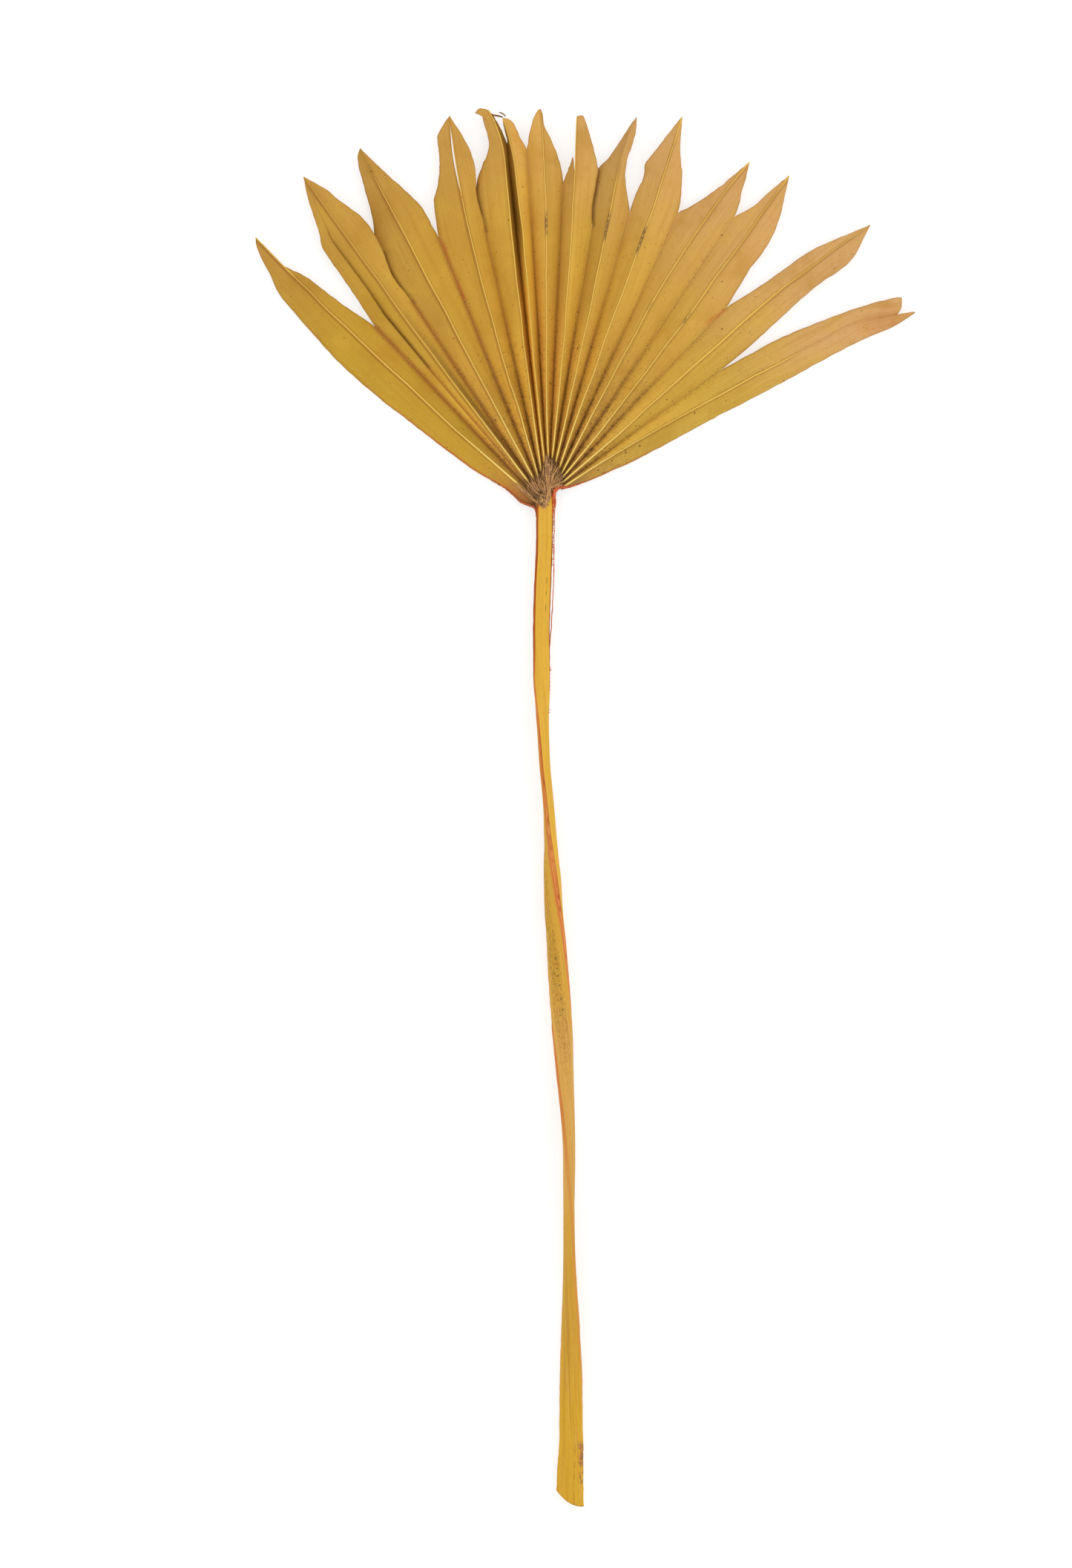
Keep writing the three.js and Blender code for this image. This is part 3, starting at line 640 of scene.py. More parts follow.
# Painted shade along the folds, with their rusty colour, and painted shade deepest in the crease itself,
# fading towards the tips.
fold_shade_and_rust = edge_gap.step(1.9, 0.1) * folded * creased
crease_shade = edge_gap.step(0.35, 0.0) * folded * along.step(0.9, 0.6)
brink = edge_gap.step(0.5, 0.1) * is_free
orange = edge_gap.step(1.1, 0.3) * on_rim * (0.5 + 0.7 * mottle)
haze = dusted * mottle.step(0.35, 0.6) * (0.22 + 0.4 * near_fold)
grime = place.noise(1.3, 4, 0.8).step(0.5, 0.56) * place.noise(0.22, 2, 0.5).step(0.36, 0.56)
lined = (near_fold + rib_gap.step(1.7, 0.4) * 0.8) * rightwards.step(0.55, 0.85)
dusty = dusted * (0.35 + 0.5 * near_fold)
dusty = dusty + near_fold * creased * along.step(0.85, 0.4) * (0.15 + 0.5 * cloud)
dusty = dusty + 0.012 + (0.03 * hub_gap.step(80, 30) + 0.02 * along.step(0.75, 0.5)) * rightwards
dusty = dusty + 0.4 * lined * along.step(0.9, 0.55) * hub_gap.step(30, 60) * cloud
warp = place.noise(1.4, output=1).vector("MULTIPLY_ADD", (0.9, 0.9, 0), place)
colour = layered(
    rightwards.blend((194, 145, 48), (206, 162, 70)),
    (greenish, rightwards.blend((190, 149, 44), (202, 164, 64))),
    (pinkish, (208, 160, 103)),
    (tanned * 0.35, (192, 146, 72)),
    (streak.step(0.42, 0.7) * 0.24, (174, 122, 40)),
    (streak.step(0.46, 0.25) * 0.24, (214, 172, 72)),
    (cloud.step(0.5, 0.75) * 0.45, (210, 167, 62)),
    (cloud.step(0.48, 0.28) * 0.4, (176, 126, 36)),
    (band.step(0.5, 0.7) * 0.26, (178, 130, 40)),
    (fine.step(0.5, 0.8) * 0.22, (162, 112, 36)),
    (mottle.step(0.5, 0.75) * 0.25, (184, 126, 50)),
    # painted shade and rusty colour along the folds, and painted shade in the crease
    (fold_shade_and_rust * (0.4 + 0.7 * streak), (154, 94, 36)),
    (crease_shade * 0.3, (112, 68, 22)),
    (hub_gap.step(30, 9) * (0.1 + 0.5 * mottle), (158, 114, 62)),
    (hub_gap.step(17, 8) * (0.4 + 0.8 * mottle) * 0.6, (128, 98, 66)),
    # painted shade on the walls of the deep fold, darker towards the tips
    (shaded * 0.85, along.step(0.35, 0.7).blend((172, 124, 40), (132, 88, 18))),
    (stained * (0.4 + 0.6 * streak.step(0.3, 0.6)), (182, 84, 28)),
    # painted shadow under overlapping margins, beside the tear and in the crevice, with a faint dark scar
    (painted_shadow_and_scar * (0.5 + 0.5 * mottle), (96, 60, 20)),
    (brink * 0.3, (160, 104, 58)),
    (orange, rightwards.blend((186, 104, 46), (186, 110, 46))),
    (haze, (136, 102, 60)),
    (grime * dusted * (0.35 + 0.6 * near_fold), (104, 72, 42)),
    (warp.dots(1.5, 0.36, dusty * cloud.step(0.25, 0.6)) * 0.7, (94, 60, 26)),
    (warp.dots(3.0, 0.38, dusty * 1.2) * 0.6, (104, 68, 30)),
    (warp.dots(0.4, 0.2, dusty * 0.25) * 0.7, (92, 60, 28)))
# Painted light and shade, with the tone of the tips, scale the colour.
colour = colour.vector("MULTIPLY", painted_light_tone_factor)

# Painted shade round the raised ribs: a darker band on both sides, a brown line at the rib's edge in the
# outer parts, and, away from the hub, a painted shadow line left of the ribs on the left of the fan and
# right of them on the right.
rib_share = rib_gap / rib_half
rib_edge_shade = rib_share.between(1.0, 1.5, 1.7, 2.4) * ribbed * along.step(0.3, 0.7)
left_rib_shadow = from_rib.between(-1.3, -0.85, -0.6, -0.25) * rightwards.step(0.36, 0.2)
right_rib_shadow = from_rib.between(0.25, 0.6, 0.85, 1.3) * rightwards.step(0.7, 0.8)
rib_shadow = (left_rib_shadow * 0.55 + right_rib_shadow * 0.3) * ribbed * hub_gap.step(14, 40)
crest = rib_share.step(1.35, 0.8) * ribbed * (0.95 - 0.3 * along.step(0.5, 1.0))
scuff = grain.spread(3.5, 0.6, 1).noise(1, 4, 0.7).step(0.38, 0.56)
colour = layered(
    colour,
    # painted shade round each rib and at its edge, a painted shadow line beside it; then the rib's pale
    # crest and its dark worn stretches
    (rib_share.step(4.2, 1.6) * ribbed * 0.5, (144, 92, 34)),
    (rib_edge_shade * 0.6, (142, 84, 30)),
    (rib_shadow * (0.6 + 0.8 * fine), (142, 88, 32)),
    (crest, hub_gap.step(50, 15).blend((240, 196, 88), (255, 222, 118))),
    (rib_gap.step(0.75, 0.25) * scuffed * scuff * 0.85, (100, 66, 50)))
bump = (streak * 0.5 + fine * 0.5).bump(0.25, 0.0002)
feed(surface, Base_Color=colour, Roughness=0.55 + 0.2 * streak, Normal=bump, Specular_IOR_Level=0.15)
blade.data.materials.append(dried)
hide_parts("blade")
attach(blade, "root")

# The petiole: a flat, hard stalk that dried with a full turn in it, cut off at a slant with one
# curved stroke. It has two domed yellow faces ribbed lengthwise and narrow orange-red edges, and at
# its top it passes into the hastula.
STALK = np.array([  # mm below the hub, aside, height of its middle, width, thickness, of its edges, turn
    (0.5, -0.9, 4.1, 4.6, 3.2, 1.2, 5), (4, -1.25, 4.2, 5.9, 3.4, 1.3, 6),
    (8.6, -1.4, 4.2, 6.1, 3.4, 1.3, 8), (19.4, -1.6, 4.4, 5.9, 3.4, 1.2, 9),
    (35.6, -2.15, 4.6, 5.9, 3.4, 1.2, 9), (46.4, -2.45, 4.8, 5.75, 3.4, 1.1, 9),
    (62.5, -2.4, 4.9, 5.75, 3.4, 1, 12), (68, -2.4, 4.95, 5.75, 3.4, 1, 18),
    (73.3, -2.2, 5, 5.7, 3.4, 1, 33), (78.7, -2.1, 5, 5.7, 3.4, 1, 45),
    (89.5, -1.7, 5, 5.6, 3.4, 1, 57), (100, -1.1, 5, 5.6, 3.4, 1, 63),
    (108, -0.3, 5, 5.6, 3.4, 1.1, 66), (116, 0.35, 5, 5.7, 3.7, 1.2, 70),
    (122, 0.65, 5, 5.9, 4.2, 1.4, 76), (127, 0.95, 5, 6.1, 4.5, 1.6, 83),
    (132.5, 1.15, 5, 6.4, 5.2, 1.7, 92), (138, 1.45, 5, 6.7, 5.9, 1.7, 101),
    (143.5, 1.7, 5, 7, 6.3, 1.7, 111), (149, 1.9, 5, 7.2, 6.5, 1.7, 120),
    (154, 2.2, 5, 7.4, 6.6, 1.7, 129), (159.5, 2.7, 5, 7.5, 6.2, 1.7, 137),
    (170.5, 3.45, 5, 7.4, 5.6, 1.6, 150), (181, 4.2, 5, 7.3, 5, 1.4, 163),
    (192, 4.95, 5, 7.2, 4.6, 1.2, 184), (202.5, 5.6, 5, 7.2, 4.2, 1.1, 209),
    (213.5, 6.25, 5, 7.2, 4, 1.1, 223), (224, 7, 5, 7.2, 4, 1.1, 235),
    (235, 7.5, 5, 7.1, 4, 1.1, 247), (246, 7.6, 4.9, 7.1, 4.1, 1.1, 262),
    (251, 7.55, 4.9, 7.1, 4, 1.1, 270), (262, 7.55, 4.7, 7.1, 3.6, 1, 286),
    (278, 7.7, 4.6, 7.1, 3.3, 1, 298), (289, 7.9, 4.3, 7.1, 3.3, 1, 308),
    (300, 8.1, 3.9, 7.4, 3.3, 1.1, 319), (310.5, 8.2, 3.4, 7.7, 3.4, 1.1, 329),
    (316, 8.3, 3.1, 8, 3.5, 1.2, 334), (332, 8.3, 2, 8.1, 3.8, 1.3, 350),
    (341, 8.25, 1.65, 8.5, 4.1, 1.4, 357), (348.5, 8.2, 1.5, 8.9, 4.2, 1.5, 360),
    (359, 7.9, 1.4, 9.55, 4.2, 1.6, 360), (368, 7.85, 1.4, 9.75, 4.2, 1.6, 360),
])
FULLER_FROM, FULLER_TO = 30, 335  # mm below the hub: here the real stalk is fuller than the table
FULLER = (-0.13, 0.25, 0.15)  # mm further aside, wider and thicker
is_fuller = (STALK[:, 0] > FULLER_FROM) & (STALK[:, 0] < FULLER_TO)
STALK[np.ix_(is_fuller, [1, 3, 4])] += FULLER
TOP, FOOT = STALK[0, 0], STALK[-1, 0]
CUT_SLANT = 5.7  # mm that the cut end is shorter on the left
CUT_SPREAD = 26  # mm above the foot within which the slant of the cut fades out
PAST_EDGE = 1.09  # how far the curve of a face would run past the flat edges, where they cut it off
CHIP = 0.07  # mm, size of the chips along the edges
STATIONS, AROUND = 460, 96


def table_curve(table, at):
    """Smooth values between the rows of a table: cubic stretches whose slopes at each row are the
    mean slope to its neighbours."""
    x, y = table[:, 0], table[:, 1:]
    slope = np.gradient(y, x, axis=0)
    i = np.clip(np.searchsorted(x, at, "right") - 1, 0, len(x) - 2)
    span = (x[i + 1] - x[i])[:, None]
    u = (at - x[i])[:, None] / span
    start, end = y[i], y[i + 1]
    return ((1 + 2 * u) * (1 - u) ** 2 * start + u * (1 - u) ** 2 * span * slope[i]
            + u * u * (3 - 2 * u) * end + u * u * (u - 1) * span * slope[i + 1])


def stalk_section(width, thickness, edge, turn):
    """Two parabolas, one above and one below, that end in flat edges; the domes are furrowed
    lengthwise. Returns across and up for each station and place round the section."""
    share = np.clip(PAST_EDGE * np.cos(turn), -1, 1)
    on_edge = np.clip(np.sin(turn) / np.sqrt(1 - 1 / PAST_EDGE**2), -1, 1)
    domed = 1 - share**2
    furrow = 0.04 * np.cos(share * 47) * domed**0.5 + 0.025 * np.cos(share * 21 + 1) * domed
    return width / 2 * share, edge / 2 * on_edge + np.sign(np.sin(turn)) * (
        (thickness - edge) / 2 * domed - furrow)


def tube_faces(stations, around):
    """Triangles of a tube of rings, its two ends closed by fans to a point added for each."""
    index = np.arange(stations * around).reshape(stations, around)
    following = np.roll(index, -1, 1)
    a, b, c, d = index[:-1], following[:-1], following[1:], index[1:]
    skin = np.stack([np.stack([a, b, c], -1), np.stack([a, c, d], -1)]).reshape(-1, 3)
    first = np.full(around, stations * around)
    ends = [np.column_stack([first, following[0], index[0]]),
            np.column_stack([first + 1, index[-1], following[-1]])]
    return np.vstack([skin, *ends])


def tube_points(ring):
    """Points of a tube of rings, and the middles of its first and last ring."""
    return np.vstack([ring.reshape(-1, 3), ring[0].mean(0), ring[-1].mean(0)])


down = np.linspace(TOP, FOOT, STATIONS)
aside, height, width, thickness, edge, twist = table_curve(STALK, down).T[:, :, None]
turn = np.linspace(0, 2 * np.pi, AROUND, endpoint=False)[None]
left_chips = rough_line(STATIONS, 170, CHIP)[:, None]
right_chips = rough_line(STATIONS, 170, CHIP)[:, None]
chips = np.where(np.cos(turn) < 0, left_chips, right_chips)
across, up = stalk_section(width + 2 * chips * np.abs(np.cos(turn)) ** 6, thickness, edge, turn)
angle = np.radians(twist)
x = aside + across * np.cos(angle) + up * np.sin(angle)
z = np.maximum(OFF_FLOOR, height - across * np.sin(angle) + up * np.cos(angle))
slant = CUT_SLANT * np.clip(0.5 - across / width, 0, 1) ** 2.2
y = -down[:, None] + slant * eased(down, FOOT - CUT_SPREAD, FOOT)[:, None]
stalk_right = x.max(1)
faces = tube_faces(STATIONS, AROUND)[:, ::-1]
smooth = np.r_[np.ones(len(faces) - 2 * AROUND, bool), np.zeros(2 * AROUND, bool)]
petiole = add_mesh("leaf_petiole", tube_points(np.stack([x, y, z], -1)), faces, smooth)
unturned = np.stack([across, np.broadcast_to(down[:, None], x.shape), up], -1)
set_measure(petiole, "lie", np.vstack([unturned.reshape(-1, 3), (0, TOP, 0), (0, FOOT, 0)]))
gaps = np.stack([width / 2 + across, width / 2 - across, 0 * x], -1)
set_measure(petiole, "from_edge", np.vstack([gaps.reshape(-1, 3), (3, 3, 0), (3, 3, 0)]))

stalk_finish, surface, start = new_finish("dried_petiole")
lie = start.row("lie")
aside_middle, below, above_middle = lie.parts()
from_left, from_right, _ = start.row("from_edge").parts()
streak = lie.spread(1.5, 0.02, 1.5).noise(1, 4, 0.6)
fine = lie.spread(5, 0.05, 5).noise(1, 3, 0.6)
blotch = lie.spread(0.5, 0.06, 0.5).noise(1, 4, 0.6)
upper = above_middle.step(-0.1, 0.1)
lower = 1 - upper
inside = from_left.step(1.2, 2.4) * from_right.step(0.8, 2.0)
dull = lower * inside * fine.step(0.42, 0.62) * below.between(110, 135, 190, 215)
brown = upper * inside * streak.step(0.42, 0.65) * below.between(255, 285, 325, 360)
near_edge = from_left.least(from_right)
top_part = below.step(75, 55)
edge_width = 0.08 + 0.24 * from_right.step(2, 4) * top_part + 0.2 * top_part
sides = (near_edge - edge_width).step(0.16, 0.0) * below.step(338, 322)
side_colour = layered(
    streak.step(0.38, 0.62).blend((216, 140, 72), (194, 102, 46)),
    (below.step(205, 260) * 0.7, (206, 144, 72)),
    (top_part * 0.95, streak.step(0.35, 0.65).blend((176, 74, 14), (134, 50, 8))))
red_line = abs(near_edge - 0.15).step(0.16, 0.04) * upper * below.step(80, 95) * below.step(220, 170)
dash = abs(aside_middle - 1.2).step(0.2, 0.1) * upper * below.between(26, 27, 48, 50)
dash = dash * lie.spread(0, 0.3, 0).noise(1, 1, 0.5).step(0.5, 0.56)
pits = lie.spread(1, 0.6, 1).dots(0.8, 0.26, below.between(160, 168, 187, 192) * 0.35 * lower)
dashes = lie.spread(3.0, 0.7, 3.0).noise(1, 4, 0.75).step(0.5, 0.6)
dashes = dashes * (0.12 + 0.5 * lower * inside * below.between(110, 135, 195, 225))
decay = lie.spread(0.9, 0.45, 0.9).noise(1, 4, 0.65)
rot = below.between(343.5, 346, 352, 355) * decay.step(0.4, 0.5)
rot = rot + below.between(354, 356, 358, 361) * decay.step(0.47, 0.58)
rot = rot * from_right.step(2.5, 0.7) * upper
spots = lie.spread(1.6, 0.9, 1.6).noise(1, 3, 0.6).step(0.5, 0.6)
crack = abs(aside_middle - 1.45).step(0.24, 0.06) * upper * below.step(337, 345)
crack = crack * lie.spread(0.6, 0.25, 0).noise(1, 3, 0.6).step(0.42, 0.55)
colour = layered(
    upper.blend((208, 158, 56), (222, 172, 58)),
    (below.step(190, 290) * 0.75, (198, 148, 48)),
    (below.between(175, 200, 245, 270) * 0.5, (212, 162, 96)),
    (below.step(300, 340) * 0.7, (212, 164, 40)),
    (streak.step(0.45, 0.7) * 0.36, (184, 132, 36)),
    (streak.step(0.45, 0.25) * 0.3, (230, 186, 76)),
    (fine.step(0.48, 0.75) * 0.32, (164, 114, 34)),
    (blotch.step(0.5, 0.75) * 0.35 * below.step(60, 110), (208, 162, 88)),
    (dull * 0.3, (134, 100, 44)),
    (brown * 0.3, (152, 108, 36)),
    (sides * (0.95 - 0.3 * below.step(205, 260)), side_colour),
    (red_line * 0.7, (156, 66, 22)),
    (dash * 0.7, (104, 80, 36)),
    (pits * inside * 0.85, (84, 64, 52)),
    (dashes, (126, 86, 34)),
    (rot * 0.85, spots.blend((166, 102, 66), (104, 62, 50))),
    (crack * 0.55, (146, 96, 38)))
bump = (streak * 0.6 + fine * 0.4).bump(0.35, 0.0002)
feed(surface, Base_Color=colour, Roughness=0.45 + 0.25 * streak, Normal=bump, Specular_IOR_Level=0.15)
petiole.data.materials.append(stalk_finish)
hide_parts("petiole")
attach(petiole, "root")

# The loose strand: a thread of the stalk's orange skin that has come away along its upper right edge.
# Short ties still hold it to the edge, and a little fuzz stands out below it.
LOOSE = [(2.7, -1.5, 4.6), (2.25, -6, 4.7), (2.1, -10.8, 4.7), (1.95, -19, 4.8), (1.9, -26, 4.9),
         (1.75, -33, 5), (1.38, -41, 5), (0.82, -49.5, 5), (0.4, -55, 5)]
LOOSE_HALF = 0.18  # mm, half the strand's thickness
LOOSE_STATIONS = 120
TIES, TIE_STEP, TIE_Z = 20, 1.1, 4.75  # how many, and mm from one to the next and above the floor
FUZZ, FUZZ_Z = 26, 5.0  # how many hairs, and mm above the floor
FUZZY = [-64.0, -68.0, -70.0, -79.0]  # where the fuzz stands, mm from the hub


def strand_mesh(paths, radius, around):
    """Round strands: each path of points carries rings of that radius, square to the path. Returns
    the points and triangles of all of them."""
    ahead = unit(np.gradient(paths, axis=1))
    beside = unit(np.cross(ahead, [0.02, 0.01, 1.0]))
    above = np.cross(beside, ahead)
    turn = np.arange(around)[None, None, :, None] * 2 * np.pi / around
    skin = paths[:, :, None] + radius[..., None, None] * (np.cos(turn) * beside[:, :, None]
                                                          + np.sin(turn) * above[:, :, None])
    count, stations = paths.shape[:2]
    ends = [skin[:, 0].mean(1)[:, None], skin[:, -1].mean(1)[:, None]]
    points = np.concatenate([skin.reshape(count, -1, 3), *ends], 1)
    faces = tube_faces(stations, around)[None] + points.shape[1] * np.arange(count)[:, None, None]
    return points.reshape(-1, 3), faces.reshape(-1, 3)


loose = smooth_path(LOOSE, np.linspace(0, 1, LOOSE_STATIONS))
loose[:, 0] += rough_line(LOOSE_STATIONS, 40, 0.06)
meshes = [strand_mesh(loose[None], (LOOSE_HALF + rough_line(LOOSE_STATIONS, 60, 0.03))[None], 8)]
s = np.linspace(0, 1, 4)[None]
tie_y = -(5 + TIE_STEP * np.arange(TIES) + rng.normal(0, 0.25, TIES))[:, None]
tie_from = np.interp(-tie_y, down, (aside + width / 2)[:, 0]) - 0.25
tie_to = np.interp(tie_y, loose[::-1, 1], loose[::-1, 0])
ties = np.stack([tie_from + (tie_to - tie_from) * s, tie_y + rng.normal(0, 0.25, (TIES, 1)) * s,
                 TIE_Z + 0.1 * np.sin(np.pi * s) + rng.normal(0, 0.15, (TIES, 1))], -1)
meshes.append(strand_mesh(ties, rng.uniform(0.07, 0.16, (TIES, 1)) + 0 * s, 4))
fuzz_y = rng.choice(FUZZY, (FUZZ, 1)) + rng.normal(0, 1.2, (FUZZ, 1))
fuzz_x = np.interp(-fuzz_y, down, stalk_right) - 0.3
fuzz = np.stack([fuzz_x + rng.uniform(0.5, 1.1, (FUZZ, 1)) * s,
                 fuzz_y + rng.normal(0, 0.6, (FUZZ, 1)) * s**2,
                 FUZZ_Z + rng.normal(0, 0.3, (FUZZ, 1)) * s + 0 * fuzz_x], -1)
meshes.append(strand_mesh(fuzz, rng.uniform(0.03, 0.07, (FUZZ, 1)) * (1 - 0.6 * s), 4))
first = np.cumsum([0] + [len(points) for points, _ in meshes])
faces = np.vstack([part + start for (_, part), start in zip(meshes, first)])
strand = add_mesh("margin_strand", np.vstack([points for points, _ in meshes]), faces)

skin_finish, surface, start = new_finish("loose_skin")
ruddy = start.place().spread(2, 0.4, 2).noise(1, 3, 0.6).step(0.35, 0.65)
feed(surface, Base_Color=ruddy.blend((212, 122, 78), (176, 76, 40)), Roughness=0.6, Specular_IOR_Level=0.3)
strand.data.materials.append(skin_finish)
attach(strand, "root")

# The hastula: the grey-brown knot of torn fibre where the stalk passes into the fan. A spine of it
# stands up in the arch of the ribs, and the fibres of every rib run into it.
KNOT = np.array([  # mm from the hub along the leaf, left side, right side, half height; its spine's
    # middle, half width and how far it stands up
    (-7.2, -4.4, 0.1, 0.5, -1.4, 1.4, 0), (-5.6, -5, 0.5, 0.9, -1.45, 1.7, 1.3),
    (-4.4, -5.4, 0.9, 1.1, -1.55, 2.0, 1.7), (-3, -5.6, 1.4, 1.2, -1.6, 2.2, 1.9),
    (-1, -5.9, 2, 1.2, -1.25, 2.1, 2), (0.6, -5.8, 2.8, 1.2, -0.7, 1.6, 2),
    (2.2, -5.3, 4, 1.2, -0.5, 1.4, 2), (3.8, -4.9, 5.1, 1.2, -0.4, 1.5, 2),
    (5.2, -4.4, 5.3, 1.2, -0.3, 1.7, 1.9), (6.6, -3.9, 5.2, 1.2, -0.2, 1.8, 1.9),
    (8.2, -3.1, 4.9, 1.2, -0.15, 1.8, 1.8), (9.8, -2.6, 4.2, 1.2, -0.2, 1.6, 1.7),
    (11.4, -2.1, 3.2, 1.1, -0.35, 1.2, 1.5), (12.8, -1.6, 2.2, 1, -0.5, 0.8, 1.2),
    (14, -1.3, 1.2, 0.7, -0.6, 0.5, 0.7), (14.8, -0.9, 0.5, 0.3, -0.5, 0.4, 0.2),
])
KNOT_Z, KNOT_LOW = 3.4, 0.4  # mm, height of its middle and of its underside
KNOT_RINGS, KNOT_AROUND = 110, 150


def knot_sizes(y):
    """The columns of the knot's table at places along the leaf."""
    return [np.interp(y, KNOT[:, 0], column) for column in KNOT[:, 1:].T]


def knot_top(x, y):
    """Height of the knot over a point: half an ellipse across it with a flat-topped spine on it, and
    far below outside of it. Returns the height and the share of the spine."""
    left, right, tall, middle, half_wide, stands = knot_sizes(y)
    share = (x - (left + right) / 2) / (right - left) * 2
    spine = np.exp(-np.abs((x - middle) / half_wide) ** 4)
    top = KNOT_Z + tall * np.sqrt(np.maximum(0, 1 - share**2)) + stands * spine
    return np.where(np.abs(share) < 1, top, -9), spine


knot_y = np.linspace(KNOT[0, 0], KNOT[-1, 0], KNOT_RINGS)[:, None]
turn = np.linspace(0, 2 * np.pi, KNOT_AROUND, endpoint=False)[None]
left, right, tall = knot_sizes(knot_y)[:3]
x = (left + right) / 2 + (right - left) / 2 * np.cos(turn) * 0.999
top, spine = knot_top(x, knot_y)
lumps = np.zeros(x.shape)
for waves in rng.uniform(0.9, 4.5, 12):
    lean = rng.uniform(-0.35, 0.35)
    bent = x + lean * knot_y + 0.5 * np.sin(0.9 * knot_y + waves)
    lumps += 0.085 * np.sin(waves * bent * 2 + rng.uniform(0, 6.28))
z = np.where(np.sin(turn) > 0, top + lumps * np.maximum(0, np.sin(turn)) ** 0.5,
             np.maximum(KNOT_LOW, KNOT_Z + tall * np.sin(turn)))
ring = np.stack([x, np.broadcast_to(knot_y, x.shape), z], -1)
knot = add_mesh("leaf_hastula", tube_points(ring), tube_faces(KNOT_RINGS, KNOT_AROUND))
# How high the spine and the lumps stand: the colour of the fibres follows it, and the dips get painted
# shade.
ridge = np.clip(spine * 0.75 + 0.25 + lumps * 0.9, 0, 1)
set_measure(knot, "ridge", np.r_[ridge.ravel(), 0, 0])

knot_finish, surface, start = new_finish("knot_fibre")
place = start.place()
grey = place.spread(2.2, 0.5, 2.2).noise(1, 4, 0.6)
patch = place.noise(0.35, 3, 0.6)
yellow = place.vector("SUBTRACT", tuple(HUB)).vector("DISTANCE", (-1.1, 4.6, 6.6), output=1)
fibrous = layered(grey.step(0.32, 0.66).blend((136, 94, 58), (208, 164, 116)),
                  (patch.step(0.55, 0.7) * 0.4, (212, 160, 92)))
# The knot's body is dark brown; where the spine and lumps stand high its fibres show, and its dips stay
# dark as painted shade.
colour = layered(srgb(106, 72, 38),
                 (start.measure("ridge").step(0.15, 0.7), fibrous),
                 (yellow.step(2.4, 0.8) * grey.step(0.3, 0.5), (222, 170, 66)))
feed(surface, Base_Color=colour, Roughness=0.85, Normal=grey.bump(0.6, 0.0004), Specular_IOR_Level=0.2)
knot.data.materials.append(knot_finish)
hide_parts("hastula")
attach(knot, "root")

# The torn fibres: dry strands on the knot. They run from the ribs into it, curl along its spine and
# lie in a swirl at its foot.
TAILS = [  # the way of each rib's fibres from the rib into the knot, from left to right
    [(-13, 5), (-10.5, 2.6), (-8, 0.3), (-5.6, -1.9), (-3.9, -3.3), (-2.6, -4.2)],
    [(-8.8, 5.4), (-7, 2.6), (-5.6, 0.7), (-4, -0.2), (-2.4, -0.4)],
    [(-7, 7.6), (-5.6, 4.2), (-4.4, 2.3), (-3.1, 1.1), (-1.8, 0.5)],
    [(-4.3, 8), (-3.3, 4.2), (-2.6, 2.4), (-1.9, 0.8), (-1.6, -1)],
    [(-2.5, 8), (-1.8, 4.5), (-1.4, 2), (-1.2, -1.5)],
    [(-1.5, 14.5), (-1.5, 10), (-1.3, 6), (-0.9, 2), (-0.8, -3.5)],
    [(-0.1, 15), (-0.5, 10), (-0.6, 6), (-0.5, 2), (-0.5, -4.6)],
    [(1.5, 13.6), (0.6, 9.5), (0.1, 6.5), (-0.2, 3), (-0.1, -4)],
    [(3, 12.2), (1.6, 8.6), (0.8, 6), (0.2, 3), (0.2, -3.4)],
    [(4.2, 10.6), (2.4, 7.5), (1.4, 5.5), (0.5, 3.4), (0.4, -1.5)],
    [(5.4, 9.2), (3, 6.4), (1.8, 4.8), (0.8, 3.2), (0.5, -0.5)],
    [(6.6, 7.6), (3.8, 5.4), (2.2, 4.2), (1, 3), (0.6, 0.5)],
    [(6.2, 5), (3.6, 4), (2.2, 3.5), (1, 2.6), (0.6, 0.5)],
    [(7.4, 3.4), (4.4, 3.1), (2.6, 3.1), (1.2, 2.5), (0.7, 0.8)],
]
BROAD_TAILS = 4  # the tails on the left have more fibres, and spread wider
CURLS = 130
SWIRL, SWIRL_X, SWIRL_Y = 22, -2.6, -1.8
s = np.linspace(0, 1, 10)[None]
knots = np.linspace(0, 1, 60)
paths = []
for number, tail in enumerate(TAILS):
    count, spread = (32, 0.42) if number < BROAD_TAILS else (20, 0.3)
    begin = rng.uniform(0, 0.45, (count, 1))
    share = begin + (rng.uniform(0.6, 1, (count, 1)) - begin * 0.4) * (1 - begin) * s
    middle = smooth_path(tail, knots)
    way = unit(np.gradient(middle, axis=0))
    off = rng.normal(0, spread, (count, 1))
    off = off + rng.normal(0, 0.12, (count, 1)) * np.sin(6 * share + 6 * begin)
    x = np.interp(share, knots, middle[:, 0]) + off * np.interp(share, knots, way[:, 1])
    y = np.interp(share, knots, middle[:, 1]) - off * np.interp(share, knots, way[:, 0])
    on_rib = ribs[number][0, 2] + 0.3 - 0.5 * np.abs(off)
    climbed = on_rib + (KNOT_Z + 1.8 - on_rib) * eased(share, 0.2, 0.8)
    high = np.maximum(climbed, knot_top(x, y)[0]) + rng.uniform(-0.05, 0.3, (count, 1)) * np.sin(np.pi * s)
    paths.append(np.stack([x, y, high], -1))
goes = rng.uniform(0, 6.28, (CURLS, 1)) + rng.normal(0, 2.2, (CURLS, 1)) * s
size = rng.uniform(0.5, 1.5, (CURLS, 1))
on_spine = rng.uniform(-5.6, 13.5, (CURLS, 1))
middle, half_wide = knot_sizes(on_spine)[3:5]
x = middle + half_wide * rng.uniform(-1.1, 1.1, (CURLS, 1)) + size * 0.45 * np.cos(goes) * s
y = on_spine + size * np.sin(goes) * s
